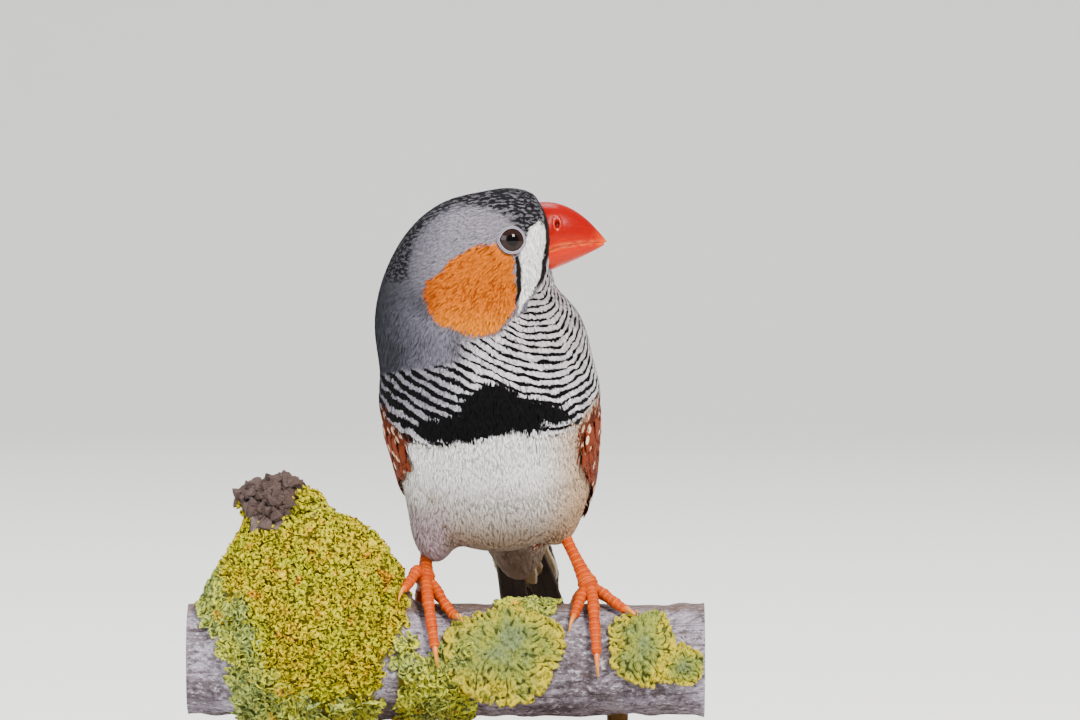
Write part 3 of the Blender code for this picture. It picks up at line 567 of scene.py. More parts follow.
def lie_of(points, normals):
    """Which way the feathers lie at points on the skin: back from the bill, down the breast and in to the
    tail."""
    from_bill = unit(points - np.array([10.5, HEAD_MIDDLE_Y, 62.0]))
    down = np.array([0.04, 0.28, -1.0])
    to_tail = unit(np.array([6.0, 30.0, -2.0]) - points)
    low = ramp(points[:, 2], 30, 12)[:, None]
    rear = ramp(points[:, 1], 2, 9)[:, None]
    body = down * (1 - np.maximum(low, rear)) + to_tail * np.maximum(low, rear)
    share = ramp(points[:, 2], 47, 37)[:, None]
    lie = unit(from_bill * (1 - share) + unit(body) * share)
    lie = lie - normals * np.sum(lie * normals, axis=1)[:, None]
    return unit(lie)


def bill_section(x, lower):
    """Top, bottom and half width of a half of the bill at x."""
    short = np.clip((x - BILL_BASE_X) / BILL_LENGTH, 0.0, 1.0)
    top = BILL_TIP_Z + 0.57 * BILL_DEPTH * (1 - short ** 2.1)
    bottom = BILL_TIP_Z - 0.43 * BILL_DEPTH * (1 - short) ** 0.82
    mouth = BILL_TIP_Z - 1.3 * (1 - short) ** 3
    width = BILL_WIDTH / 2 * (1 - 0.95 * short ** 1.45)
    if lower:
        return mouth, bottom, width * 0.94
    return top, mouth, width


def inside_bill(points, margin):
    """Whether points lie within the bill's outline across its length, grown by a margin."""
    top, _, width = bill_section(points[:, 0], False)
    _, bottom, _ = bill_section(points[:, 0], True)
    middle = (top + bottom) / 2
    across = (points[:, 1] - HEAD_MIDDLE_Y) / (width + margin)
    level = (points[:, 2] - middle) / ((top - bottom) / 2 + margin)
    return (across ** 2 + level ** 2 < 1) & (points[:, 0] > 5.5)


def eye_places():
    """For each side: the middle of the eye's opening on the coat, and the direction out of it."""
    places = {}
    for name, way in (("right", -1.0), ("left", 1.0)):
        start = np.array([[EYE_X, HEAD_MIDDLE_Y, EYE_Z]])
        point = out_to(body_field, start, np.array([[0.0, way, 0.0]]), np.zeros(1))
        places[name] = (point[0], normals_at(body_field, point)[0])
    return places


def on_eye(points, reach):
    """Whether points lie within a reach of either eye's middle."""
    found = np.zeros(len(points), bool)
    for middle, _ in eye_places().values():
        found |= np.linalg.norm(points - middle, axis=1) < reach
    return found


def spread_out(points, spacing, chance):
    """Which points to keep so that none is nearer to another than its spacing."""
    tree = KDTree(len(points))
    for index, point in enumerate(points):
        tree.insert(point, index)
    tree.balance()
    state = np.zeros(len(points), int)
    for index in chance.permutation(len(points)):
        if not state[index]:
            for _, other, _ in tree.find_range(points[index], spacing[index]):
                state[other] = state[other] or 2
            state[index] = 1
    return state == 1


def skin_roots(skin, seed, thinning):
    """Evenly strewn places on the skin, each with its normal and its place on the skin's unwrap."""
    chance = np.random.default_rng(seed)
    points = bird_points(skin)
    skin.data.calc_loop_triangles()
    corners = rows_of(skin.data.loop_triangles, "vertices", 3, np.int32)
    loops = rows_of(skin.data.loop_triangles, "loops", 3, np.int32)
    flat = rows_of(skin.data.uv_layers["OFBake"].data, "uv", 2)
    first, second, third = (points[corners[:, i]] for i in range(3))
    normal = np.cross(second - first, third - first)
    area = np.linalg.norm(normal, axis=1) / 2
    middle = (first + second + third) / 3
    spacing = coat_measures(middle)[:, 3] * thinning
    number = chance.poisson(area / spacing ** 2 * 4.0)
    face = np.repeat(np.arange(len(corners)), number)
    shares = chance.dirichlet((1, 1, 1), len(face))
    roots = np.einsum("ij,ijk->ik", shares, points[corners[face]])
    places = np.einsum("ij,ijk->ik", shares, flat[loops[face]])
    keep = ~inside_bill(roots, 0.05) & ~on_eye(roots, EYE_OPENING + 0.30)
    roots = roots[keep]
    places = places[keep]
    spacing = coat_measures(roots)[:, 3] * thinning
    chosen = spread_out(roots, spacing, chance)
    return roots[chosen], places[chosen]


def feather_coat(name, roots, places, seed, rows=4, teeth=3, lifts=None, size=None):
    """Many small feathers in one mesh: thin closed vanes with frayed tips that rise from the skin and follow
    the outside of the coat. Lifts raise the roots, and a size is length, width and depth other than usual."""
    chance = np.random.default_rng(seed)
    count = len(roots)
    normals = normals_at(flesh_field, roots)
    measures = coat_measures(roots)
    if size:
        measures[:, 1] = size[0]
        measures[:, 2] = size[1]
        measures[:, 0] = size[2]
    base = -measures[:, 0] if lifts is None else lifts
    rise = 1.8 + 2.4 * ramp(roots[:, 2], 29, 23)  # downy belly feathers lie flatter
    smooth = 1 - 0.8 * ramp(roots[:, 2], 29, 23) * ramp(roots[:, 1], 8, 2)  # how much less even the coat lies
    depth = measures[:, 0] * (1 + smooth * chance.uniform(-0.05, 0.02, count))
    length = measures[:, 1] * chance.uniform(0.75, 1.25, count)
    width = measures[:, 2] * chance.uniform(0.75, 1.2, count)
    swing = chance.normal(0, 0.09, count) + 0.12 * waves(roots, 6.0, 5)
    steps = 1 - (1 - np.linspace(0, 1, rows)) ** 1.2
    across = np.linspace(-1, 1, teeth)
    point = roots.copy()
    spine = [point]
    outwards = [normals]
    runs = []
    for near, far in zip(steps, steps[1:]):
        out = normals_at(flesh_field, point)
        lie = lie_of(point, out)
        side = np.cross(lie, out)
        lie = unit(lie + side * swing[:, None])
        point = point + lie * (length * (far - near))[:, None]
        out = normals_at(flesh_field, point)
        height = base + depth * (1 - (1 - far) ** rise)
        point = point + out * (height - flesh_field(point))[:, None]
        spine.append(point)
        outwards.append(out)
        runs.append(lie)
    runs.append(runs[-1])
    spine = np.stack(spine, 1)
    outwards = np.stack(outwards, 1)
    runs = np.stack(runs, 1)
    sides = unit(np.cross(runs, outwards))
    profile = np.clip(0.45 + 1.3 * steps, 0, 1)
    profile = profile * np.sqrt(np.clip(1 - ((steps - 0.55) / 0.62) ** 2 * (steps > 0.55), 0.1, 1))
    half = width[:, None] / 2 * profile
    fray = np.where(np.arange(teeth) % 2, 0.0, -0.22) * chance.uniform(0.4, 1.3, (count, teeth))
    fray -= 0.14 * across ** 2
    roll = chance.normal(0, 0.04, count) * smooth
    arch = 0.08 * smooth[:, None]
    tops = []
    for column, place in enumerate(across):
        lift = arch * half * (1 - place ** 2) + roll[:, None] * half * place
        reach = np.zeros((count, rows))
        reach[:, -1] = fray[:, column] * length * 0.8
        top = spine + sides * (half * place)[..., None] + outwards * lift[..., None]
        tops.append(top + runs * reach[..., None])
    under = spine - outwards * ((0.05 + 0.04 * half) * (0.5 + 0.5 * smooth[:, None]))[..., None]
    under[:, -1] -= runs[:, -1] * (0.2 * length)[:, None]
    grid = np.stack([*tops, under], 2)  # feather, row, column
    columns = teeth + 1
    points = grid.reshape(-1, 3)
    faces = []
    for row in range(rows - 1):
        for column in range(columns):
            a = row * columns + column
            b = row * columns + (column + 1) % columns
            faces += [(a, a + columns, b), (b, a + columns, b + columns)]
    last = (rows - 1) * columns
    for column in range(teeth - 1):
        faces.append((column, column + 1, teeth))
        faces.append((last + column + 1, last + column, last + teeth))
    faces = np.array(faces)[:, ::-1]
    faces = (faces[None] + (np.arange(count) * rows * columns)[:, None, None]).reshape(-1, 3)
    made = mesh_object(name, points, faces)
    owner = np.repeat(np.arange(count), rows * columns)
    shift = chance.normal(0, 1, count)[owner]
    own = marks_at(points)
    shared = [part[owner] for part in marks_at(spine[:, 2])]
    blend_own = np.array([0.5, 0.6, 1.0])
    give_vector(
        made, "face_marks",
        own[0] * blend_own + shared[0] * (1 - blend_own) + shift[:, None] * (0.16, 0.1, 0.03)
    )
    give_vector(made, "body_marks", 0.5 * own[1] + 0.5 * shared[1] + shift[:, None] * (0.22, 0.3, 0.35))
    bars = own[2].copy()
    bars[:, 0] += shift * 0.05
    give_vector(made, "bar_marks", bars)
    give_vector(made, "back_marks", 0.4 * own[3] + 0.6 * shared[3])
    give_vector(made, "outward", np.repeat(outwards, columns, 1).reshape(-1, 3))
    along = np.tile(np.repeat(steps, columns), count)
    sideways = np.tile(np.tile(np.append(across, 0.0), rows), count)
    tint = chance.uniform(0, 1, count)[owner]
    give_vector(made, "vane", np.stack([sideways, along, tint], 1))
    patch = 0.003
    give_uv(made, "OFBake", places[owner] + patch * np.stack([sideways / 2, along - 0.5], 1))
    return made


# Materials

USUAL_SETTINGS = {
    "Mix": {"data_type": "RGBA"},
    "MapRange": {"interpolation_type": "SMOOTHSTEP"},
    "Math": {"operation": "MULTIPLY"},
}


def feed(node, *inputs, **named):
    """Gives a node's settings and sockets by name, and its open inputs in their order. A node or an output is
    linked, a hex code becomes a colour, any other value is set, and None leaves a socket as it is."""
    wanted = []
    for name, value in named.items():
        socket = node.inputs.get(name.replace("_", " "))
        if socket:
            wanted.append((socket, value))
        else:
            setattr(node, name, value)
    wanted += zip([socket for socket in node.inputs if socket.enabled], inputs)
    for socket, value in wanted:
        if isinstance(value, bpy.types.Node):
            value = next(output for output in value.outputs if output.enabled)
        if isinstance(value, bpy.types.NodeSocket):
            node.id_data.links.new(value, socket)
        elif value is not None:
            is_code = socket.type == "RGBA" and isinstance(value, str)
            socket.default_value = colour_of(value) if is_code else value
    return node


def add_node(tree, kind, *inputs, **settings):
    """Adds a node with what feed is to give it. A kind without Node in its name is a shader node's."""
    node = tree.nodes.new(kind if "Node" in kind else "ShaderNode" + kind)
    return feed(node, *inputs, **(USUAL_SETTINGS.get(kind, {}) | settings))


def new_material(name, roughness, attribute=None, **steady):
    """A material, what adds nodes to it, its shader with its steady values, the output of object coordinates,
    and the three numbers of a vector attribute if one is named."""
    made = bpy.data.materials.new(name)
    made.use_nodes = True
    add = partial(add_node, made.node_tree)
    shader = feed(made.node_tree.nodes["Principled BSDF"], Roughness=roughness, **steady)
    place = add("TexCoord").outputs["Object"]
    if not attribute:
        return made, add, shader, place
    parts = add("SeparateXYZ", add("Attribute", attribute_name=attribute).outputs["Vector"]).outputs
    return made, add, shader, place, parts


def per(size):
    """A pattern's scale from its size in millimetres."""
    return 1 / (size * MM)


def high_at(z):
    """Metres over the floor at a height over the perch."""
    return (BIRD_PLACE[2] + z) * MM


def left_at(x):
    """The world's x, in metres, at the bird's own."""
    return (BIRD_PLACE[0] + x) * MM


def plumage_material(settings):
    """Contour feathers: soft matt keratin whose fine barbs break every edge of a marking into hairs."""
    made, add, shader, place = new_material(
        "soft_contour_feathers", 0.86, Specular_IOR_Level=0.1, Sheen_Weight=0.03
    )
    face, body, bars, rear = (
        add("SeparateXYZ", add("Attribute", attribute_name=name + "_marks").outputs["Vector"]).outputs
        for name in ("face", "body", "bar", "back")
    )
    vane = add("Attribute", attribute_name="vane").outputs["Vector"]
    vane_parts = add("SeparateXYZ", vane).outputs
    barbs = add("TexNoise", add("Mapping", vane, Scale=(11.0, 0.6, 23.0)), 1.0, 3.0)
    fine = add("TexNoise", place, per(0.35), 2.0)
    clouds = add("TexNoise", place, per(6.0), 2.0)
    hairs = add("Math", add("Math", barbs, fine, operation="ADD"), 1.0, operation="SUBTRACT")

    def edge(value, soft, rough):
        """1 where a signed distance is inside, with the edge broken by the barbs."""
        moved = add("Math", hairs, rough, value, operation="MULTIPLY_ADD")
        return add("MapRange", moved, soft, -soft)

    grey = add("Mix", add("MapRange", clouds, 0.35, 0.65), settings.neck_grey, settings.neck_pale)
    across, _, up = add("SeparateXYZ", place).outputs
    face_share = add("MapRange", up, high_at(45), high_at(51))
    grey = add("Mix", face_share, grey, settings.face_grey)
    # Painted shade: the grey darkens nearly to black round the back of the neck and on its side turned from
    # the light
    grey = add("Mix", add("Math", rear[2], 0.85), grey, "2A2C30")
    grey = add("Mix", add("Math", bars[2], 0.7), grey, "4E4E54")
    crown_spots = add("TexNoise", add("Mapping", place, Scale=(0.6, 1.0, 1.5)), per(0.62), 1.0)
    spotted = add("Math", bars[2], 0.13, crown_spots, operation="MULTIPLY_ADD")
    scale_marks = add("Math", add("MapRange", spotted, 0.55, 0.63), add("MapRange", bars[2], 0.0, 0.9))
    grey = add("Mix", add("Math", scale_marks, 0.95), grey, settings.crown_dark)

    chest = add("Mix", add("MapRange", up, high_at(30), high_at(44)), "DAD8DE", "C9C2C8")
    # Painted shade: the chest above the belly turns dark grey towards the bird's right, the side turned from
    # the light
    painted_side_shade = add(
        "Math", add("MapRange", across, left_at(0), left_at(-9)),
        add("MapRange", up, high_at(22), high_at(31))
    )
    chest = add("Mix", add("Math", painted_side_shade, 0.85), chest, "77747E")
    wave = add("Math", add("Math", bars[0], 2 * math.pi), operation="SINE")
    broken = add("TexNoise", place, per(2.0), 2.0)
    sharp = add("Math", hairs, 1.1, wave, operation="MULTIPLY_ADD")
    # The bars thicken downwards, and more under the painted shade on the neck and the chest's side
    thick = add("MapRange", up, high_at(41), high_at(31))
    thick = add("Math", add("Math", thick, rear[2], operation="ADD"), painted_side_shade, operation="ADD")
    sharp = add("Math", thick, 0.3, sharp, operation="MULTIPLY_ADD")
    start = add("Math", add("Math", bars[1], 1.0, operation="SUBTRACT"), 1.1)
    sharp = add("Math", sharp, start, operation="ADD")
    sharp = add("Math", add("Math", broken, 0.48, operation="SUBTRACT"), 3.4, sharp, operation="MULTIPLY_ADD")
    lines = add("Math", add("MapRange", sharp, 0.36, 0.6), add("MapRange", bars[1], 0.1, 0.5))
    ragged = add("Math", hairs, 0.5, bars[1], operation="MULTIPLY_ADD")
    chest_share = add("MapRange", ragged, 0.1, 0.95)
    colour = add("Mix", chest_share, grey, chest)
    colour = add("Mix", lines, colour, settings.bar_black)

    brown = add("Mix", clouds, settings.back_brown, "84786A")
    colour = add("Mix", rear[0], colour, brown)
    # Painted shade: the belly's white darkens to warm grey brown towards its underside; the buff towards the
    # bird's left is its own colour
    belly_shade_and_buff = add("Mix", add("MapRange", up, high_at(22), high_at(8)), "FCFCFA", "907C6A")
    buff = add("MapRange", across, left_at(6), left_at(14))
    belly_shade_and_buff = add("Mix", add("Math", buff, 0.9), belly_shade_and_buff, "C09A72")
    belly = edge(body[1], 0.35, 1.2)
    colour = add("Mix", belly, colour, belly_shade_and_buff)
    colour = add("Mix", add("MapRange", rear[1], 0.2, 0.6), colour, "E6E3DC")
    outer = add("MapRange", across, left_at(-4.5), left_at(-8.5))
    low = add("MapRange", up, high_at(17), high_at(11))
    colour = add("Mix", add("Math", add("Math", outer, low), 0.8), colour, "AE9CA6")

    stretched = add("Mapping", place, Scale=(1.0, 1.0, 0.62), Rotation=(0.35, 0.25, 0.0))
    spots = add("TexVoronoi", stretched, per(1.75), Randomness=0.7)
    chestnut = add("Mix", fine, "4A1A0A", settings.flank_chestnut)
    dotted = add("Mix", add("MapRange", spots.outputs["Distance"], 0.3, 0.22), chestnut, "E8C0A0")
    colour = add("Mix", edge(body[2], 0.25, 0.8), colour, dotted)
    colour = add("Mix", edge(body[0], 0.16, 0.9), colour, settings.bar_black)

    patch = add("Mix", add("MapRange", vane_parts[2], 0.0, 0.45), settings.cheek_deep, settings.cheek_orange)
    bright = add("MapRange", up, high_at(46), high_at(41))
    patch = add("Mix", add("Math", bright, 0.6), patch, "D47C00")
    # Painted shade: the cheek deepens to brown orange at its rear edge
    shaded_cheek_rear = add("Math", across, left_at(-10.0), operation="SUBTRACT")
    patch = add("Mix", add("MapRange", shaded_cheek_rear, 3.2 * MM, 0.0, 0.0, 0.7), patch, "8E3A04")
    colour = add("Mix", edge(face[0], 0.16, 0.5), colour, patch)
    colour = add("Mix", edge(face[1], 0.22, 0.45), colour, "F8FAF8")
    colour = add("Mix", edge(face[2], 0.1, 0.22), colour, "17130F")

    calm = add("Math", 1.0, add("Math", belly, 0.75), operation="SUBTRACT")
    relief = add("Math", barbs, calm)
    tint = add("Math", vane_parts[2], calm)
    shade = add("Math", tint, 0.2, add("Math", relief, 0.24), operation="MULTIPLY_ADD")
    shade = add("Math", add("Math", belly, 0.12, shade, operation="MULTIPLY_ADD"), 0.8, operation="ADD")
    toned = add("VectorMath", colour, operation="SCALE", Scale=shade)

    # The vane's own normal is drawn towards the one out of the body, as soft downy edges catch the light
    outward = add("Attribute", attribute_name="outward").outputs["Vector"]
    body_normal = add(
        "VectorMath", outward, add("Math", belly, 16.0, 6.0, operation="MULTIPLY_ADD"), operation="SCALE"
    )
    own_normal = add("NewGeometry").outputs["Normal"]
    soft_normal = add("VectorMath", add("VectorMath", body_normal, own_normal), operation="NORMALIZE")
    feed(shader, Base_Color=toned, Normal=add("Bump", 0.4, 0.1 * MM, Height=relief, Normal=soft_normal))
    return made


# Pieces of the coat

COAT_PARTS = 8


def make_skin():
    """The skin under the coat, one closed surface from the face to the thighs and the tail's root."""
    def rough(work):
        for mass in [*BODY_MASSES.values(), TAIL_ROOT, *THIGHS.values()]:
            add_mass(work, mass)

    skin = field_surface("skin", rough, 0.85, skin_field)
    points = bird_points(skin)
    for name, values in zip(("face_marks", "body_marks", "bar_marks", "back_marks"), marks_at(points)):
        give_vector(skin, name, values)
    give_vector(skin, "vane", np.zeros((len(points), 3)))
    give_vector(skin, "outward", normals_at(flesh_field, points))
    unwrap(skin)
    return skin


def unwrap(made):
    """An unwrap of a mesh's own shape in a map named OFBake."""
    made.data.uv_layers.new(name="OFBake")
    bpy.ops.object.select_all(action="DESELECT")
    bpy.context.view_layer.objects.active = made
    made.select_set(True)
    bpy.ops.object.mode_set(mode="EDIT")
    bpy.ops.mesh.select_all(action="SELECT")
    bpy.ops.uv.smart_project(angle_limit=math.radians(66), island_margin=0.004)
    bpy.ops.object.mode_set(mode="OBJECT")


def make_coat(thinning):
    """The skin and its coat, in pieces by height so that each stays small enough."""
    skin = make_skin()
    roots, places = skin_roots(skin, 3, thinning)
    lift = flesh_field(roots) > -3.5
    roots = roots[lift]
    places = places[lift]
    order = np.argsort(-roots[:, 2])
    pieces = []
    for number, share in enumerate(np.array_split(order, COAT_PARTS)):
        pieces.append(feather_coat(f"coat_{number + 1}", roots[share], places[share], 20 + number))
    chance = np.random.default_rng(40)
    flank = marks_at(roots)[1][:, 2] < -0.15
    loose = np.flatnonzero(flank)
    loose = loose[spread_out(roots[loose], np.full(len(loose), 0.8), chance)]
    tufts = feather_coat(
        "flank_feathers", roots[loose], places[loose], 41, rows=6, teeth=5, lifts=np.full(len(loose), -0.1),
        size=(4.6, 1.5, 0.7),
    )
    chestnut = np.tile((3.0, 3.0, -1.0), (len(tufts.data.vertices), 1))
    tufts.data.attributes["body_marks"].data.foreach_set("vector", chestnut.ravel())
    tufts.data.attributes["outward"].data.foreach_set("vector", 0 * chestnut.ravel())
    return skin, [*pieces, tufts]


def dress(pieces, look):
    """Gives pieces a material, unless they have theirs, and the root body to ride on."""
    for piece in pieces:
        if look:
            piece.data.materials.append(look)
        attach(piece, "root")


# Lofts

def face_outwards(made):
    """Turns every face's normal out of a closed mesh."""
    work = bmesh.new()
    work.from_mesh(made.data)
    bmesh.ops.recalc_face_normals(work, faces=work.faces[:])
    work.to_mesh(made.data)
    work.free()


def ring_faces(count, around):
    """Triangles between each ring of points and the next."""
    grid = np.arange(count * around).reshape(count, around)
    a = grid[:-1].ravel()
    b = np.roll(grid, -1, 1)[:-1].ravel()
    return [np.stack([a, b, b + around], 1), np.stack([a, b + around, a + around], 1)]


def loft_object(name, rings, extra=None):
    """A closed mesh through rings of points, with both ends closed by a middle point."""
    rings = np.asarray(rings)
    count, around = rings.shape[:2]
    points = np.concatenate([rings.reshape(-1, 3), rings[0].mean(0)[None], rings[-1].mean(0)[None]])
    step = np.arange(around)
    following = np.roll(step, -1)
    last = (count - 1) * around
    faces = np.concatenate([
        *ring_faces(count, around),
        np.stack([following, step, np.full(around, count * around)], 1),
        np.stack([last + step, last + following, np.full(around, count * around + 1)], 1),
    ])
    made = mesh_object(name, points, faces)
    face_outwards(made)
    if extra is not None:
        values = np.concatenate([extra.reshape(-1, 3), extra[0].mean(0)[None], extra[-1].mean(0)[None]])
        give_vector(made, "detail", values)
    return made


def joined(name, pieces):
    """One mesh object of several, with their attributes kept."""
    bpy.ops.object.select_all(action="DESELECT")
    for piece in pieces:
        piece.select_set(True)
    bpy.context.view_layer.objects.active = pieces[0]
    bpy.ops.object.join()
    pieces[0].name = name
    pieces[0].data.name = name
    return pieces[0]


def frames_along(path, upward):
    """Unit directions along a path, and the up and side directions square to it, from one upward hint a
    point."""
    runs = unit(np.gradient(path, axis=0))
    ups = upward - runs * np.sum(upward * runs, axis=1)[:, None]
    ups = unit(ups)
    return runs, ups, np.cross(runs, ups)


def round_rings(path, upward, across, height, around):
    """Rings round a path. Across and height give the half sizes for each ring and each place round it."""
    _, ups, sides = frames_along(path, upward)
    turn = turns(around)
    return (
        path[:, None]
        + sides[:, None] * (np.sin(turn) * across)[..., None]
        + ups[:, None] * (np.cos(turn) * height)[..., None]
    )


# Bill

NOSTRIL = (9.9, 57.0)  # x and z of the nostril's middle
NOSTRIL_HALVES = (0.40, 0.62)


def make_bill_half(lower):
    """One half of the bill, lofted from inside the face to its tip, with the nostrils sunk into the upper
    half."""
    tip = BILL_BASE_X + BILL_LENGTH * (0.95 if lower else 1.0)
    start = BILL_BASE_X - 2.2
    stations = start + (tip - start) * (1 - (1 - np.linspace(0, 1, 90)) ** 1.6)
    around = 72
    turn = turns(around)
    rings = []
    extra = []
    for x in stations:
        top, bottom, width = bill_section(np.array(x), lower)
        if lower:
            top = top - 0.05
        else:
            bottom = bottom + 0.03
        level = np.sin(turn)
        across = np.cos(turn)
        edge = 0.22 * math.sqrt(max(1 - (x - BILL_BASE_X) / BILL_LENGTH, 0.02))
        if lower:
            z = np.where(level < 0, top + (bottom - top) * np.abs(level) ** 0.92, top + edge * level)
        else:
            z = np.where(level > 0, bottom + (top - bottom) * np.abs(level) ** 0.9, bottom + edge * level)
        y = HEAD_MIDDLE_Y + width * across * (1 - 0.06 * np.exp(-((np.abs(level) - 0.12) / 0.1) ** 2))
        if not lower:
            reach = np.hypot((x - NOSTRIL[0]) / NOSTRIL_HALVES[0], (z - NOSTRIL[1]) / NOSTRIL_HALVES[1])
            pit = 0.5 * np.clip(1 - reach ** 2, 0, 1) - 0.13 * np.exp(-((reach - 1.3) / 0.28) ** 2)
            y = y - np.sign(across) * pit
        else:
            reach = np.full(around, 9.0)
        rings.append(np.stack([np.full(around, x), y, z], 1))
        along = np.full(around, (x - BILL_BASE_X) / BILL_LENGTH)
        extra.append(np.stack([along, np.abs(z - np.where(lower, top, bottom)), reach], 1))
    return loft_object("bill_lower_horn" if lower else "bill_upper_horn", np.array(rings), np.array(extra))


def bill_material(settings):
    """Waxy bill horn: a smooth glossy sheath, paler along its cutting edge, with painted highlights there and
    at its tip.
    """
    made, add, shader, place, parts = new_material(
        "waxy_bill_horn", 0.24, "detail", Specular_IOR_Level=0.12, IOR=1.5
    )
    up = add("SeparateXYZ", place).outputs[2]
    upper = add("MapRange", up, high_at(BILL_TIP_Z - 2.5), high_at(BILL_TIP_Z + 2.5))
    colour = add("Mix", upper, settings.bill_orange, settings.bill_red)
    streaks = add("TexNoise", add("Mapping", place, Scale=(0.22, 1.0, 1.0)), per(0.5), 3.0)
    colour = add("Mix", add("MapRange", streaks, 0.52, 0.75, 0.0, 0.25), colour, "C82800")
    # Painted highlight along each half's cutting edge, on horn that is paler there too, broken by the streaks
    worn = add("Math", add("MapRange", parts[1], 0.7, 0.05), add("MapRange", streaks, 0.3, 0.6))
    colour = add("Mix", add("Math", worn, 0.5), colour, "E06428")
    # Painted highlight: lighter orange towards the tip
    tip = add("MapRange", parts[0], 0.72, 1.0, 0.0, 0.4)
    colour = add("Mix", tip, colour, "DC5014")
    # Painted shade: dark red brown in the nostril pits
    colour = add("Mix", add("MapRange", parts[2], 1.02, 0.7), colour, "4A0804")
    rim = add("Math", add("MapRange", parts[2], 1.8, 1.4), add("MapRange", parts[2], 1.02, 1.25))
    colour = add("Mix", add("Math", rim, 0.4), colour, "D03808")
    swells = add("TexNoise", add("Mapping", place, Scale=(0.4, 1.0, 1.0)), per(0.8), 3.0)
    feed(shader, Base_Color=colour, Normal=add("Bump", 0.35, 0.1 * MM, Height=swells))
    return made


# Eyes

def make_eye(side, middle, out):
    """An eyeball, a little domed in front, with the distance from its axis to mark iris and pupil."""
    depth = math.sqrt(EYE_RADIUS ** 2 - EYE_OPENING ** 2)
    centre = middle - depth * out
    work = bmesh.new()
    bmesh.ops.create_uvsphere(work, u_segments=48, v_segments=40, radius=1.0)
    mesh = bpy.data.meshes.new(f"eyeball_{side}")
    work.to_mesh(mesh)
    work.free()
    local = np.array([vert.co for vert in mesh.vertices])
    turn = np.array(Vector(out).to_track_quat("Z", "Y").to_matrix())
    off_axis = np.hypot(local[:, 0], local[:, 1]) * EYE_RADIUS
    off_axis = np.where(local[:, 2] > 0, off_axis, 9.0)
    dome = 1 + 0.05 * np.exp(-(off_axis / 1.5) ** 2)
    points = centre + (local * dome[:, None] * EYE_RADIUS) @ turn.T
    place_points(mesh, points)
    mesh.shade_smooth()
    made = in_scene(f"eyeball_{side}", mesh)
    give_vector(made, "detail", np.stack([off_axis, local[:, 0], local[:, 1]], 1))
    return made


def eye_material():
    """A wet eye: dark brown iris round a black pupil, under a clear cornea as glossy as glass."""
    made, add, shader, place, parts = new_material(
        "wet_dark_eye", 0.04, "detail", Specular_IOR_Level=0.3, IOR=1.376
    )
    rays = add("TexNoise", place, per(0.35), 3.0)
    iris = add("Mix", rays, "120A08", "2E1C17")
    colour = add("Mix", add("MapRange", parts[0], 0.95, 0.8), iris, "030202")
    colour = add("Mix", add("MapRange", parts[0], 1.5, 1.72), colour, "1A1210")
    feed(shader, Base_Color=colour)
    return made


def make_lid(side, middle, out):
    """The bare rim of the lids: two low beaded rings round the eye, drawn to a small corner at the back."""
    turn = turns(132)
    side_way = unit(np.cross(out, (0, 0, 1)))
    up_way = np.cross(side_way, out)
    if side_way[0] < 0:
        side_way = -side_way
    pieces = []
    for number, (radius, tube, lift, beads) in enumerate(((1.80, 0.12, 0.10, 44), (2.02, 0.08, 0.03, 38))):
        corner = 1 + 0.10 * np.exp(-((turn - math.pi) / 0.34) ** 2)
        corner = corner + 0.05 * np.exp(-((turn - 6.1) / 0.3) ** 2)
        place = (
            middle
            + out * lift
            + side_way * (np.cos(turn) * radius * corner)[:, None]
            + up_way * (np.sin(turn) * radius)[:, None]
        )
        place = place - out * (0.022 * (np.cos(turn) * radius) ** 2 * 2)[:, None]
        ridge = tube * (1 + 0.16 * np.cos(turn * beads))
        around = 10
        spin = turns(around)
        away = unit(place - middle - out * ((place - middle) @ out)[:, None])
        rings = (
            place[:, None]
            + away[:, None] * (np.cos(spin) * ridge[:, None])[..., None]
            + out * (np.sin(spin) * ridge[:, None])[..., None]
        )
        grid = np.arange(len(turn) * around).reshape(-1, around)
        onward = np.roll(grid, -1, 0)
        faces = np.stack([grid, np.roll(grid, -1, 1), np.roll(onward, -1, 1), onward], 2).reshape(-1, 4)
        piece = mesh_object(f"lid_{side}_{number}", rings.reshape(-1, 3), faces)
        face_outwards(piece)
        pieces.append(piece)
    return joined(f"lid_{side}", pieces)


def lid_material():
    """Bare lid skin: pale grey, finely pebbled and a little moist."""
    made, add, shader, place = new_material("bare_lid_skin", 0.5, Specular_IOR_Level=0.4)
    tone = add("Mix", add("TexNoise", place, per(0.3), 2.0), "6E6874", "9C96A2")
    pebbles = add("TexNoise", place, per(0.2), 2.0)
    feed(shader, Base_Color=tone, Normal=add("Bump", 0.4, 0.05 * MM, Height=pebbles))
    return made


# Legs

SCUTE = 0.95  # length of a scute along a toe


def toe_path(foot, toe, steps):
    """Points along a toe over the perch, past 1 for the claw."""
    x_root, x_tip, angle_root, angle_tip = TOES[foot][toe]
    lift = FOOT_JOINTS[foot][2] - TOE_RADIUS - GAP
    heights = TOE_RADIUS + GAP * 0.5 + lift * np.clip(1 - steps, 0, 1) ** 2
    return on_perch(x_root + (x_tip - x_root) * steps, angle_root + (angle_tip - angle_root) * steps, heights)


def away_from_perch(points):
    out = points - np.array([0, 0, -PERCH_RADIUS])
    out[:, 0] = 0
    return unit(out)


def scuted_rings(path, upward, radius, scute, around=26):
    """Rings of a scaly limb: each scute rises over the next, and the underside is softly padded."""
    length = np.concatenate([[0], np.cumsum(np.linalg.norm(np.diff(path, axis=0), axis=1))])
    phase = (length / scute) % 1.0
    step = 0.10 * phase ** 1.4
    pads = 0.05 * np.sin(length / scute * math.pi)
    turn = turns(around)
    front = ramp(np.cos(turn), -0.35, 0.15)
    size = radius[:, None] * (1 + step[:, None] * front + pads[:, None] * (1 - front))
    rings = round_rings(path, upward, size * 0.96, size, around)
    extra = np.stack([
        np.broadcast_to(phase[:, None], size.shape),
        np.broadcast_to(front, size.shape),
        np.broadcast_to(length[:, None] / scute, size.shape),
    ], 2)
    return rings, extra


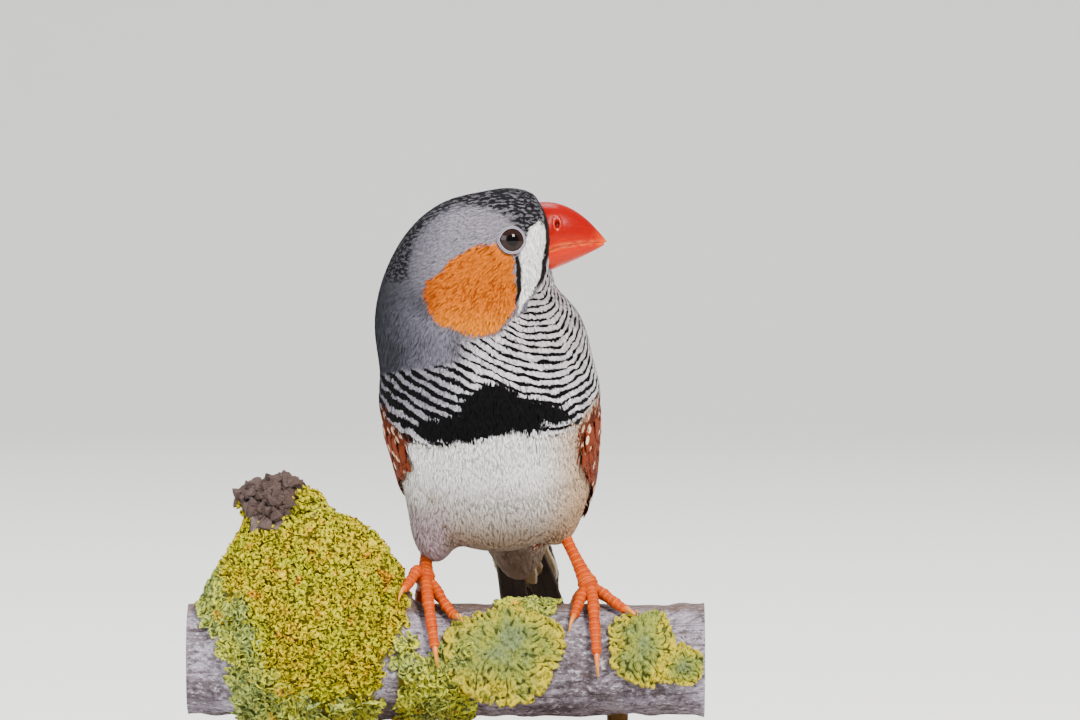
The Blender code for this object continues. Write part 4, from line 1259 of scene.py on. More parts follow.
def make_toes(foot):
    """The toes of one foot with the knuckle that joins them to the shank."""
    joint = np.array(FOOT_JOINTS[foot])
    pieces = []
    for toe in TOES[foot]:
        steps = np.linspace(0, 1.0, 90)
        path = toe_path(foot, toe, steps)
        pull = np.clip(1 - steps / 0.22, 0, 1)[:, None] ** 1.5
        path = path * (1 - pull) + (joint + (path - path[0])) * pull
        joints = 1 + 0.07 * np.cos(steps * 4 * math.pi * 1.5)
        end = np.sqrt(np.clip(1 - ((steps - 0.93) / 0.075) ** 2 * (steps > 0.93), 0.08, 1))
        radius = TOE_RADIUS * (1.12 - 0.27 * steps) * joints * end
        rings, extra = scuted_rings(path, away_from_perch(path), radius, SCUTE)
        pieces.append(loft_object(f"toe_{foot}_{toe}", rings, extra))
    ankle = np.array(ANKLES[foot])
    way = unit(joint - ankle)
    steps = np.linspace(-1, 1, 30)
    path = joint - way * 0.5 + way * (steps * 1.75)[:, None]
    radius = 1.5 * np.sqrt(np.clip(1 - steps ** 2, 0.01, 1))
    rings, extra = scuted_rings(path, np.tile([0.0, -1.0, 0.3], (30, 1)), radius, 0.8)
    pieces.append(loft_object(f"knuckle_{foot}", rings, extra))
    return joined(f"toes_{foot}", pieces)


def make_shank_piece(foot):
    """The bare shank in its scutes, from inside the thigh feathers down to the knuckle."""
    ankle = np.array(ANKLES[foot])
    joint = np.array(FOOT_JOINTS[foot])
    share = np.linspace(0, 1, 110)
    bend = np.sin(share * math.pi)[:, None] * np.array([0.0, 0.35, 0.1])
    path = ankle + (joint - ankle) * share[:, None] + bend
    radius = TARSUS_RADIUS * (1.12 - 0.34 * np.sin(share * math.pi) + 0.25 * share ** 4)
    rings, extra = scuted_rings(path, np.tile([0.0, -1.0, 0.2], (110, 1)), radius, 1.05, 30)
    return loft_object(f"scuted_shank_{foot}", rings, extra)


def make_claws(foot):
    """The four claws of one foot, thin, curved and pointed."""
    pieces = []
    for toe, size in {"outer": 3.0, "middle": 4.0, "inner": 3.2, "hallux": 4.2}.items():
        span = np.linalg.norm(np.diff(toe_path(foot, toe, np.linspace(0, 1, 9)), axis=0), axis=1).sum()
        share = np.linspace(0, 1, 32)
        path = toe_path(foot, toe, 1 - 0.35 / span + share * (size + 0.2) / span)
        outwards = away_from_perch(path)
        path = path + outwards * (0.6 * np.sin(share * math.pi) - 0.35 * share)[:, None]
        radius = 0.54 * (1 - share) ** 0.75 + 0.035
        rings = round_rings(
            path, outwards, np.repeat(radius[:, None] * 0.8, 16, 1), np.repeat(radius[:, None], 16, 1), 16
        )
        extra = np.repeat(np.stack([share, share * 0, share * 0], 1)[:, None], 16, 1)
        name = f"curved_claw_{foot}_{toe}"
        pieces.append((loft_object(name, rings, extra), f"claw_{foot}_{toe}"))
    return pieces


def leg_material():
    """Leg skin: hard orange scutes, dull shine, pale worn edges with painted highlights, softer skin in
    painted shade.
    """
    made, add, shader, place, parts = new_material("scaly_leg_skin", 0.5, "detail", Specular_IOR_Level=0.12)
    cells = add("TexNoise", place, per(0.7), 2.0)
    colour = add("Mix", cells, "922A00", "C04C00")
    # The pale rim at each scute's edge is partly worn paler keratin and partly a painted highlight on the
    # raised lip
    edge = add("Math", add("MapRange", parts[0], 0.7, 0.95), parts[1])
    colour = add("Mix", add("Math", edge, 0.6), colour, "D87020")
    # Painted shade in the groove under each scute's edge
    groove_shade = add("MapRange", parts[0], 0.16, 0.0, 0.0, 0.85)
    colour = add("Mix", groove_shade, colour, "4C1000")
    pits = add("TexNoise", place, per(0.35), 3.0)
    feed(shader, Base_Color=colour, Normal=add("Bump", 0.45, 0.07 * MM, Height=pits))
    return made


def claw_material():
    """Claw horn: warm translucent keratin, orange at the root and yellow brown at the tip."""
    made, add, shader, place, parts = new_material(
        "warm_claw_horn", 0.3, "detail", Specular_IOR_Level=0.5, IOR=1.54
    )
    colour = add("Mix", add("MapRange", parts[0], 0.0, 0.9), "C8500C", "C8841C")
    colour = add("Mix", add("Math", add("TexNoise", place, per(0.4), 2.0), 0.4), colour, "E09A34")
    feed(shader, Base_Color=colour)
    return made


# Flight feathers

VANE_COLUMNS = 9
VANE_CAMBER = 0.22
VANE_THICKNESS = 0.12


class VaneSheet:
    """Closed feather vanes gathered into one mesh, each with a cell of its own on the bake map."""

    def __init__(self, cells):
        self.points = []
        self.faces = []
        self.details = []
        self.flats = []
        self.count = 0
        self.vanes = 0
        self.cells = cells

    def add(self, centres, ups, halves, tone, roll):
        """One vane: a thin arched blade along its centres with a raised shaft, ragged at its edge."""
        centres = np.asarray(centres)
        rows = len(centres)
        runs = unit(np.gradient(centres, axis=0))
        sides = unit(np.cross(runs, ups))
        turn = math.radians(roll)
        c = math.cos(turn)
        s = math.sin(turn)
        sides, ups = sides * c + ups * s, ups * c - sides * s
        columns = VANE_COLUMNS
        across = np.linspace(-1, 1, columns)
        chance = np.random.default_rng(self.count + 7)
        ragged = 1 + chance.uniform(-0.05, 0.02, (rows, 1)) * (np.abs(across) == 1)[None]
        lift = VANE_CAMBER * np.minimum(1.0, halves)[:, None] * (1 - across ** 2)[None]
        shaft = 0.11 * np.exp(-(across / 0.09) ** 2)[None]
        width = halves[:, None] * across[None] * ragged
        middle = centres[:, None]
        across_way = sides[:, None] * width[..., None]
        top = middle + across_way + ups[:, None] * (lift + shaft + VANE_THICKNESS / 2)[..., None]
        low = middle + across_way * 0.97 + ups[:, None] * (lift - VANE_THICKNESS / 2)[..., None]
        ring = np.concatenate([top, low[:, ::-1]], 1)
        around = columns * 2
        faces = ring_faces(rows, around)
        last = (rows - 1) * around
        strip = np.arange(columns - 1)
        other = around - 1 - strip
        faces.append(np.stack([strip + 1, strip, other], 1))
        faces.append(np.stack([strip + 1, other, other - 1], 1))
        faces.append(np.stack([last + strip, last + strip + 1, last + other], 1))
        faces.append(np.stack([last + strip + 1, last + other - 1, last + other], 1))
        along = np.linspace(0, 1, rows)
        sideways = np.concatenate([across, across[::-1]])
        detail = np.stack([
            np.broadcast_to(sideways[None], (rows, around)),
            np.broadcast_to(along[:, None], (rows, around)),
            np.full((rows, around), tone),
        ], 2)
        cell_x = self.vanes % self.cells
        cell_y = self.vanes // self.cells
        under = np.concatenate([np.zeros(columns), np.ones(columns)])[None]
        flat = np.stack(
            [
                (
                    cell_x + 0.05 + 0.4 * (sideways[None] / 2 + 0.5) + 0.45 * under + 0 * along[:, None]
                ) / self.cells,
                (cell_y + 0.05 + 0.9 * along[:, None] + 0 * under) / self.cells
            ],
            2
        )
        self.points.append(ring.reshape(-1, 3))
        self.faces.append(np.concatenate(faces)[:, ::-1] + self.count)
        self.details.append(detail.reshape(-1, 3))
        self.flats.append(flat.reshape(-1, 2))
        self.count += rows * around
        self.vanes += 1

    def build(self, name):
        made = mesh_object(name, np.concatenate(self.points), np.concatenate(self.faces))
        give_vector(made, "vane", np.concatenate(self.details))
        give_uv(made, "OFBake", np.concatenate(self.flats))
        return made


def vane_halves(count, half):
    """Half widths along a vane: narrow at the quill, full beyond the middle, and rounded off at the tip."""
    steps = np.linspace(0, 1, count)
    swell = np.clip(0.5 + 1.5 * steps, 0, 1)
    tip = np.sqrt(np.clip(1 - ((steps - 0.66) / 0.355) ** 2 * (steps > 0.66), 0.03, 1))
    return half * swell * tip


def make_wing_vanes(side):
    """One folded wing's flight feathers and large coverts, in tiers over the small coverts."""
    sheet = VaneSheet(7)
    rows = 26
    steps = np.linspace(0, 1, rows)
    for tier, entry in WING_TIERS.items():
        count, root_a, tip_a, root_b, tip_b, half, height_root, height_tip = entry
        for number in range(count):
            share = number / (count - 1)
            root = np.array(root_a) + share * (np.array(root_b) - np.array(root_a))
            tip = np.array(tip_a) + share * (np.array(tip_b) - np.array(tip_a))
            stations = root[0] + (tip[0] - root[0]) * steps
            turned = WING_TURN[side] * (1 - 0.6 * ramp(stations, 0, -26))
            angles = root[1] + (tip[1] - root[1]) * steps + turned
            heights = height_root + (height_tip - height_root) * steps + 0.06 * number
            centres = on_body(stations, angles, side, heights)
            ups = normals_at(support_field, centres)
            tone = {"primaries": 0.15, "secondaries": 0.3, "tertials": 0.45}.get(tier, 0.6)
            tone += 0.08 * (number % 2)
            sheet.add(centres, ups, vane_halves(rows, half), tone, roll=4.0 * side)
    return sheet.build("wing_vanes_right" if side < 0 else "wing_vanes_left")


def make_wing_coverts(side):
    """The small coverts over the wing's shoulder, as feathers of the coat raised onto the folded wing."""
    chance = np.random.default_rng(31 + side)
    spots = np.append(chance.uniform(-1, 1, (9000, 2)), np.zeros((9000, 1)), 1)
    spots = spots[np.linalg.norm(spots, axis=1) < 0.97]
    spots = spots[spread_out(spots, np.full(len(spots), 0.062), chance)]
    (station, length), (angle, spread), (height, depth) = WING_CORE
    stations = station + length * spots[:, 0]
    keep = stations > 2.0
    spots = spots[keep]
    stations = stations[keep]
    angles = angle + WING_TURN[side] + spread * spots[:, 1]
    lifts = 0.1 + (height + depth - 0.1) * np.sqrt(np.clip(1 - np.sum(spots ** 2, axis=1) ** 2, 0, 1))
    roots = on_body(stations, angles, side, 0 * stations)
    places = np.stack([spots[:, 0] / 2 + 0.5, spots[:, 1] / 2 + 0.5], 1)
    name = "wing_coverts_right" if side < 0 else "wing_coverts_left"
    return feather_coat(name, roots, places, 60 + side, rows=5, teeth=5, lifts=lifts, size=(3.4, 1.9, 0.5))


def make_tail_vanes():
    """The tail: blackish rectrices, barred coverts over them and pale ones under."""
    start = np.array(TAIL_ROOT[0]) - 4.0 * TAIL_AXIS
    tail_rows = {
        "rectrix": (12, 0.0, TAIL_LENGTH, 2.3, 0.8, 0.26, 0.27, 0.0),
        "upper_covert": (10, 2.5, 21.0, 1.9, 1.1, 0.36, 0.28, 2.0),
        "under_covert": (7, -2.1, 15.0, 2.1, 2.2, 0.6, -0.28, 1.0),
    }
    sheets = [VaneSheet(4) for _ in tail_rows]
    for (row, entry), sheet in zip(tail_rows.items(), sheets):
        count, height, length, half, fan, spread, step, ragged = entry
        for number in range(count):
            place = number - (count - 1) / 2
            run = unit(TAIL_AXIS + math.tan(math.radians(fan * place)) * TAIL_SIDE)
            level = height - step * abs(place) + 0.1 * (place > 0)
            root = start + TAIL_SIDE * spread * place + TAIL_UP * level
            count_rows = 30
            steps = np.linspace(0, 1, count_rows)[:, None]
            reach = length * (1 - 0.03 * abs(place)) - ragged * (number % 2)
            centres = root + run * reach * steps - TAIL_UP * 0.9 * np.sign(height + 0.1) * steps ** 2
            ups = np.repeat(TAIL_UP[None], count_rows, 0)
            roll = 3.0 if place > 0 else -3.0
            if row == "under_covert":
                ups = -ups
            sheet.add(centres, ups, vane_halves(count_rows, half), 0.1 * (number % 3), roll=roll)
    names = ("tail_vanes", "barred_tail_coverts", "pale_undertail_coverts")
    return [sheet.build(name) for name, sheet in zip(names, sheets)]


def vane_material(name, dark, pale, fringe, bars=None):
    """Flight feathers: sleek vanes of closed barbs, 0.3 mm apart so that they show, with worn paler edges."""
    made, add, shader, place, parts = new_material(name, 0.55, "vane", Specular_IOR_Level=0.25)
    across = add("Math", parts[0], operation="ABSOLUTE")
    slant = add("Math", across, -7.0, add("Math", parts[1], 60.0), operation="MULTIPLY_ADD")
    ribs = add("Math", add("Math", slant, 2 * math.pi), operation="SINE")
    clouds = add("TexNoise", place, per(2.2), 3.0)
    colour = add("Mix", clouds, dark, pale)
    colour = add("Mix", add("Math", parts[2], 0.7), colour, pale)
    if bars:
        wave = add("Math", add("Math", parts[1], 2 * math.pi * 3.2), operation="SINE")
        colour = add(
            "Mix", add("MapRange", add("Math", clouds, 0.5, wave, operation="MULTIPLY_ADD"), 0.35, 0.55),
            colour, bars
        )
    shaft = add("MapRange", across, 0.1, 0.04)
    colour = add("Mix", add("Math", shaft, 0.6), colour, dark)
    rim = add("MapRange", add("Math", clouds, 0.12, across, operation="MULTIPLY_ADD"), 0.86, 1.0)
    end = add("MapRange", parts[1], 0.955, 0.99)
    edge = add("Math", rim, end, operation="MAXIMUM")
    colour = add("Mix", add("Math", edge, 0.6), colour, fringe)
    shade = add("Math", ribs, 0.09, 0.95, operation="MULTIPLY_ADD")
    toned = add("VectorMath", colour, operation="SCALE", Scale=shade)
    feed(shader, Base_Color=toned, Normal=add("Bump", 0.35, 0.05 * MM, Height=ribs))
    return made


# Perch

ROSETTE_PLACES = (  # name, x, degrees round the perch, radius, seed, number of lobes
    ("lichen_rosette_large", 1.9, 77.0, 8.4, 71, 20),
    ("lichen_rosette_middle", 22.4, 72.0, 5.6, 72, 16),
    ("lichen_rosette_small", 28.4, 92.0, 3.4, 73, 10),
)
ROD_PLACES = {"left": -27.0, "right": 19.0}
BARK_STRETCH = np.array([0.25, 1.0, 1.0])


def bark_field(points):
    """The perch with the bark's cracks and knobs raised on it."""
    ridges = 0.16 * waves(points * BARK_STRETCH, 1.7, 41) + 0.20 * waves(points, 5.5, 42)
    crack = np.exp(-(waves(points * BARK_STRETCH, 4.0, 43) / 0.10) ** 2) * 0.18
    feet = np.min([np.linalg.norm(points - (x, -3.0, 0.0), axis=1) for x in (-9.7, 15.0)], axis=0)
    calm = ramp(feet, 5.0, 12.0) * 0.8 + 0.2
    tip = ramp(points[:, 2], 8.5, 14.0) * 1.1 * waves(points * np.array([1.0, 1.0, 0.6]), 3.0, 44)
    mound = ramp(mass_distance(points, CRUST), 1.5, -0.5)
    crumbs = mound * (0.35 * waves(points, 2.6, 45) + 0.2 * waves(points, 1.3, 46))
    return perch_field(points) - (ridges - crack) * calm * (1 - mound) - tip - crumbs + 0.15


def saw_off(made, place, direction):
    """Cuts a mesh square at a plane and closes the cut with a face of the second material."""
    work = bmesh.new()
    work.from_mesh(made.data)
    point = Vector((np.array(place) + BIRD_PLACE) * MM)
    geometry = work.verts[:] + work.edges[:] + work.faces[:]
    cut = bmesh.ops.bisect_plane(
        work, geom=geometry, plane_co=point, plane_no=Vector(direction), clear_outer=True
    )
    rim = [item for item in cut["geom_cut"] if isinstance(item, bmesh.types.BMEdge)]
    closed = bmesh.ops.edgeloop_fill(work, edges=rim)
    for face in closed["faces"]:
        face.material_index = 1
        face.smooth = False
    bmesh.ops.triangulate(work, faces=closed["faces"])
    work.to_mesh(made.data)
    work.free()


def growth_on(points):
    """How thickly three things grow at points on the perch, from 0 to 1: fine yellow lichen, broad lobes of
    pale lichen, and flakes of dead bark."""
    x, y, z = points.T
    crust = ramp(mass_distance(points, CRUST), 1.6, -0.2)
    tip = ramp(z + 0.9 * (x + 31.0), 8.5, 10.5) * ramp(z, 9.5, 11.5)
    tip = tip * ramp(x + 0.5 * (15.0 - z), -29.0, -31.0)
    edge = waves(points, 6.0, 52)
    pale = ramp(-x - 0.55 * (z + 10.0) + 1.6 * edge, 31.0, 34.5)
    pale = np.maximum(pale, ramp(-z + 1.5 * edge, 13.0, 15.0))
    shoot = ramp(mass_distance(points, (SHOOT[1], (6.5, 6.0, 7.5), 0.0)), 1.0, -0.5)
    shoot = shoot * ramp(z, 5.0, 7.0) * (1 - tip)
    crust = np.maximum(ramp(crust, 0.1, 0.5), shoot)
    fine = crust * (1 - pale)
    top = ramp(np.abs(x - 5.5), 5.2, 3.6) * ramp(z, -2.4, -1.0) * ramp(y, 4.5, 0.5)
    beside = ramp(np.abs(x + 8.5), 6.5, 4.5) * ramp(z, -2.5, -6.0) * ramp(y, 1.5, -2.0)
    broad = np.maximum(np.maximum(crust * pale * ramp(z, 10.0, 6.0), beside), top)
    clear = 1 - tip
    for foot in FOOT_JOINTS.values():
        for toe_y in (-4.0, 2.0):
            clear = clear * ramp(np.hypot(x - foot[0], (y - toe_y) * 0.6), 2.2, 4.0)
    clear = np.maximum(clear, (1 - tip) * ramp(z, -6.5, -9.5))
    clear = clear * ramp(x, PERCH_LEFT + 0.5, PERCH_LEFT + 1.5) * ramp(y, 7.5, 4.0)
    return fine * clear, broad * clear, tip * ramp(z, 11.0, 13.0)


def make_bark():
    """The branch with its broken side shoot, grown past both ends and then sawn off square."""
    def rough(work):
        place = Matrix.Translation((-5, 0, -PERCH_RADIUS)) @ Matrix.Rotation(math.pi / 2, 4, "Y")
        bmesh.ops.create_cone(
            work, cap_ends=True, segments=48, radius1=PERCH_RADIUS, radius2=PERCH_RADIUS, depth=110,
            matrix=place
        )
        add_mass(work, CRUST)
        start, end, radius, end_radius = SHOOT
        add_mass(work, (end, (end_radius,) * 3, 0.0))
        middle = (np.array(start) + np.array(end)) / 2
        add_mass(work, (tuple(middle), ((radius + end_radius) / 2, (radius + end_radius) / 2, 9.0), 0.0))

    perch = field_surface("bark", rough, 0.62, bark_field, rounds=5)
    saw_off(perch, (PERCH_RIGHT, 0, 0), (1, 0, 0))
    saw_off(perch, (PERCH_LEFT, 0, 0), (-1, 0, 0))
    points = bird_points(perch)
    fine, broad, flakes = growth_on(points)
    give_vector(
        perch, "detail", np.stack([np.maximum(fine, broad), waves(points * BARK_STRETCH, 4.0, 43), flakes], 1)
    )
    half = points[:, 0] < -27.0
    growths = {"fine_left": fine * half, "fine_right": fine * (1 - half), "broad": broad, "flakes": flakes}
    for name, values in growths.items():
        attribute = perch.data.attributes.new(name, "FLOAT", "POINT")
        attribute.data.foreach_set("value", values.astype(np.float32))
    return perch


LICHEN_PROFILES = {  # each form's rings as radius and height, then the size of its ruffles
    "lobe": (((0.0, 0.12), (0.5, 0.26), (0.95, 0.55), (1.0, 0.46), (0.4, 0.0)), 0.22),
    "curl": (((0.0, 0.10), (0.42, 0.16), (0.72, 0.60), (0.86, 0.56), (0.4, -0.05)), 0.16),
    "cup": (((0.0, 0.34), (0.5, 0.36), (0.62, 0.56), (0.76, 0.50), (0.3, -0.05)), 0.04),
    "grain": (((0.0, 0.62), (0.4, 0.52), (0.6, 0.3), (0.5, 0.1), (0.2, -0.05)), 0.2),
    "flake": (((0.0, 1.3), (0.35, 1.0), (0.6, 0.55), (0.75, 0.1), (0.3, -0.2)), 0.45),
}


def lichen_form(kind, around):
    """One small form a millimetre or so across, as a closed mesh at the origin."""
    turn = turns(around)
    profile, ruffle = LICHEN_PROFILES[kind]
    rings = []
    for radius, level in profile:
        radius = max(radius, 0.04)
        bend = radius * (1 + ruffle * np.sin(turn * 3 + 0.5) + ruffle / 2 * np.sin(turn * 5))
        wave = 0.7 * ruffle * radius * np.sin(turn * 2 + 1.1)
        rings.append(np.stack([bend * np.cos(turn), bend * np.sin(turn), level + wave], 1) - BIRD_PLACE)
    return loft_object(f"form_{kind}", np.array(rings))


def growth_tree(name, shapes):
    """A node tree that strews forms over a surface where one of its attributes is high, turned to lie on
    it."""
    tree = bpy.data.node_groups.new(name, "GeometryNodeTree")
    face = tree.interface
    face.new_socket("Surface", in_out="INPUT", socket_type="NodeSocketGeometry")
    for socket, kind in (("Spacing", "Float"), ("Smallest", "Float"), ("Largest", "Float"), ("Tilt", "Float"),
                         ("Seed", "Int"), ("Look", "Material")):
        face.new_socket(socket, in_out="INPUT", socket_type=f"NodeSocket{kind}")
    face.new_socket("Growth", in_out="OUTPUT", socket_type="NodeSocketGeometry")
    add = partial(add_node, tree)
    start = add("NodeGroupInput").outputs
    strewn = add(
        "GeometryNodeDistributePointsOnFaces", distribute_method="POISSON", Density_Max=1.2e7,
        Mesh=start["Surface"], Distance_Min=start["Spacing"],
        Density_Factor=add("GeometryNodeInputNamedAttribute", name), Seed=start["Seed"]
    )
    forms = add("GeometryNodeJoinGeometry")
    for shape in shapes:
        source = add("GeometryNodeObjectInfo", Object=shape).outputs["Geometry"]
        feed(forms, add("GeometryNodeGeometryToInstance", source))
    choice = add("FunctionNodeRandomValue", 0, len(shapes) - 1, data_type="INT")
    spin = add("FunctionNodeRandomValue", (-1, -1, 0), (1, 1, 9), data_type="FLOAT_VECTOR")
    leaning = add(
        "VectorMath", spin, add("CombineXYZ", start["Tilt"], start["Tilt"], 1.0), operation="MULTIPLY"
    )
    turned = add(
        "FunctionNodeRotateRotation", strewn.outputs["Rotation"], add("FunctionNodeEulerToRotation", leaning),
        rotation_space="LOCAL"
    )
    size = add("FunctionNodeRandomValue", start["Smallest"], start["Largest"], data_type="FLOAT")
    placed = add(
        "GeometryNodeInstanceOnPoints", Points=strewn.outputs["Points"], Instance=forms, Pick_Instance=True,
        Instance_Index=choice, Rotation=turned, Scale=size
    )
    real = add("GeometryNodeRealizeInstances", placed)
    add("NodeGroupOutput", add("GeometryNodeSetMaterial", real, Material=start["Look"]))
    return tree


def grow(perch, attribute, name, kinds, around, look, values):
    """Grows small forms over the perch by nodes, and makes them one plain mesh."""
    shapes = [lichen_form(kind, around) for kind in kinds]
    tree = growth_tree(attribute, shapes)
    source = in_scene(name, perch.data.copy())
    strew = source.modifiers.new(name, "NODES")
    strew.node_group = tree
    wanted = dict(zip(("Spacing", "Smallest", "Largest", "Tilt", "Seed"), values)) | {"Look": look}
    for item in tree.interface.items_tree:
        if item.in_out == "INPUT" and item.name in wanted:
            strew[item.identifier] = wanted[item.name]
    made = plain_copy(source, name)
    for shape in shapes:
        bpy.data.objects.remove(shape)
    made.data.materials.clear()
    made.data.materials.append(look)
    made.data.polygons.foreach_set("use_smooth", np.full(len(made.data.polygons), kinds[0] != "flake"))
    return made


def make_rosette(name, x, angle, radius, seed, lobes):
    """A flat lichen rosette on the bark: puckered narrow lobes that fork outwards to a scalloped edge."""
    chance = np.random.default_rng(seed)
    rings = 56
    around = 300
    turn = turns(around)
    share = np.linspace(0.03, 1, rings)[:, None]
    shifts = chance.uniform(0, 6.28, 6)
    drift = 0.30 * np.sin(turn * 3 + shifts[0] + 5.0 * share)
    drift = drift + 0.16 * np.sin(turn * 7 + shifts[1] - 9.0 * share)
    fork = ramp(share, 0.35, 0.55)
    broad = np.abs(np.sin(lobes / 4 * (turn + drift) + shifts[2]))
    narrow = np.abs(np.sin(lobes / 2 * (turn + drift) + shifts[3]))
    folds = broad * (1 - fork) + narrow * fork
    folds = 1 - (1 - folds) * ramp(share, 0.05, 0.4)
    outline = 1 + 0.10 * np.sin(turn * 2 + shifts[4]) + 0.05 * np.sin(turn * 5 + shifts[5])
    outline = outline * (0.86 + 0.14 * narrow[-1] ** 0.5)
    reach = radius * share * outline
    xs = (x + reach * np.cos(turn)).ravel()
    angles = (angle - np.degrees(reach * np.sin(turn) / PERCH_RADIUS)).ravel()
    xs = np.clip(xs, PERCH_LEFT + 0.3, PERCH_RIGHT - 0.3)
    flat = np.stack([xs, angles * math.radians(PERCH_RADIUS), 0 * xs], 1)
    pucker = (0.17 * waves(flat, 1.3, seed) + 0.12 * waves(flat, 0.6, seed + 1)).reshape(rings, around)
    level = 0.25 + 0.30 * folds ** 0.35 + pucker + 0.18 * np.exp(-((share - 0.95) / 0.06) ** 2)
    top = on_perch(xs, angles, level.ravel()).reshape(rings, around, 3)
    under = on_perch(xs, angles, -0.45 + 0 * xs).reshape(rings, around, 3)
    shell = np.concatenate([top, under[::-8]], 0)
    extra = np.ones(shell.shape)
    extra[:rings, :, 0] = share
    extra[:rings, :, 1] = folds
    extra[:rings, :, 2] = pucker
    return loft_object(name, shell, extra)


def bark_material(name, dark, pale):
    """Weathered bark: matt grey violet cork, split along the branch, freckled pale and dark."""
    made, add, shader, place, parts = new_material(name, 0.9, "detail", Specular_IOR_Level=0.18)
    broad = add("TexNoise", add("Mapping", place, Scale=(0.5, 1.0, 1.0)), per(6.0), 5.0, 0.65)
    freckle = add("TexNoise", add("Mapping", place, Scale=(0.6, 1.0, 1.0)), per(0.55), 4.0, 0.7)
    grain = add("TexNoise", add("Mapping", place, Scale=(0.12, 1.0, 1.0)), per(0.8), 5.0, 0.65)
    colour = add("Mix", add("MapRange", broad, 0.38, 0.62), dark, pale)
    colour = add("Mix", add("MapRange", freckle, 0.52, 0.66, 0.0, 0.75), colour, "C4BFCA")
    colour = add("Mix", add("MapRange", freckle, 0.47, 0.36, 0.0, 0.8), colour, "3A3034")
    colour = add("Mix", add("MapRange", grain, 0.46, 0.36, 0.0, 0.7), colour, "4A3E3C")
    crack = add("MapRange", add("Math", parts[1], operation="ABSOLUTE"), 0.1, 0.02, 0.0, 0.45)
    colour = add("Mix", crack, colour, "33292A")
    up = add("Math", grain, 2 * MM, add("SeparateXYZ", place).outputs[2], operation="MULTIPLY_ADD")
    colour = add("Mix", add("MapRange", up, 31.2 * MM, 32.6 * MM, 0.0, 0.7), colour, "5A4638")
    colour = add("Mix", add("MapRange", parts[2], 0.1, 0.5, 0.0, 0.8), colour, "4A3C38")
    # Under the lichen the bark turns olive, darkened to painted shade that shows in the gaps between the
    # lichen's lobes
    olive_ground_and_shade = add("Mix", freckle, "2A2804", "746C0C")
    colour = add("Mix", add("MapRange", parts[0], 0.3, 0.8), colour, olive_ground_and_shade)
    relief = add("Math", freckle, 0.8, grain, operation="MULTIPLY_ADD")
    feed(shader, Base_Color=colour, Normal=add("Bump", 1.0, 0.45 * MM, Height=relief))
    return made


def cut_wood_material():
    """Sawn end grain: pale dry wood with yearly rings about 0.9 mm apart, and saw marks."""
    made, add, shader, place = new_material("sawn_end_grain", 0.8, Specular_IOR_Level=0.2)
    heart = add("Mapping", place, Location=(0.0, -BIRD_PLACE[1] * MM, -(BIRD_PLACE[2] - PERCH_RADIUS) * MM))
    rings = add(
        "TexWave", heart, per(5.4), 1.6, 2.0, 2.0, wave_type="RINGS", rings_direction="X"
    )
    colour = add("Mix", rings.outputs["Fac"], "A98358", "D8BE94")
    colour = add("Mix", add("TexNoise", place, per(3.0), 3.0), colour, "C4A274")
    saw_marks = add("TexNoise", add("Mapping", place, Scale=(1.0, 0.2, 1.0)), per(0.5), 3.0)
    feed(shader, Base_Color=colour, Normal=add("Bump", 0.5, 0.12 * MM, Height=saw_marks))
    return made


def lichen_material(name, yellow, green, dark, gold_tone, cup_tone):
    """Leafy lichen: dry and matt, brighter where the sun reaches it, mottled with gold, with painted shade in
    its hollows.
    """
    made, add, shader, place = new_material(name, 0.88, Specular_IOR_Level=0.18)
    patches = add("TexNoise", place, per(5.5), 2.0)
    fine = add("TexNoise", place, per(0.5), 3.0)
    colour = add("Mix", add("MapRange", patches, 0.36, 0.62), green, yellow)
    gold = add("TexNoise", place, per(1.9), 1.0)
    colour = add("Mix", add("MapRange", gold, 0.56, 0.68, 0.0, 0.7), colour, gold_tone)
    orange = add("TexNoise", place, per(2.7), 0.0)
    colour = add("Mix", add("MapRange", orange, 0.76, 0.78), colour, cup_tone)
    # Painted shade: dark where the bumps are low
    colour = add("Mix", add("MapRange", fine, 0.53, 0.41, 0.0, 0.92), colour, dark)
    # Painted highlight: bright yellow where the bumps are high
    colour = add("Mix", add("MapRange", fine, 0.55, 0.7, 0.0, 0.5), colour, "E4D808")
    feed(shader, Base_Color=colour, Normal=add("Bump", 0.8, 0.18 * MM, Height=fine))
    return made


def rosette_material():
    """Flat lichen rosettes: chalky grey green in the middle, yellow green on the lobes at the edge."""
    made, add, shader, place, parts = new_material(
        "chalky_rosette_lichen", 0.9, "detail", Specular_IOR_Level=0.15
    )
    patches = add("TexNoise", place, per(3.0), 3.0)
    fine = add("TexNoise", place, per(0.5), 4.0, 0.65)
    patches = add("Math", patches, 0.5, operation="SUBTRACT")
    ring = add("Math", patches, 1.6, parts[0], operation="MULTIPLY_ADD")
    colour = add("Mix", add("MapRange", ring, 0.0, 0.5), "66744C", "7C8436")
    colour = add("Mix", add("MapRange", ring, 0.45, 1.05), colour, "B4A41C")
    # Painted shade: dark green in the folds between the lobes and in the puckers
    groove_shade = add("Math", parts[2], 1.4, parts[1], operation="MULTIPLY_ADD")
    colour = add("Mix", add("MapRange", groove_shade, 0.4, 0.1, 0.0, 0.9), colour, "262E12")
    # Painted shade: dark specks where the bumps are low
    colour = add("Mix", add("MapRange", fine, 0.5, 0.38, 0.0, 0.8), colour, "3A4620")
    # Painted highlight: pale specks where the bumps are high
    colour = add("Mix", add("MapRange", fine, 0.54, 0.72, 0.0, 0.3), colour, "A8B070")
    feed(shader, Base_Color=colour, Normal=add("Bump", 0.8, 0.2 * MM, Height=fine))
    return made


# Stand

def turned_piece(name, profile, middle, around=96):
    """A turned piece from a profile of radius and height, in bird millimetres, closed on its axis."""
    turn = turns(around)
    rings = []
    for radius, level in profile:
        flat = np.stack([radius * np.cos(turn), radius * np.sin(turn), level + 0 * turn], 1)
        rings.append(np.array(middle) + flat)
    return loft_object(name, np.array(rings))


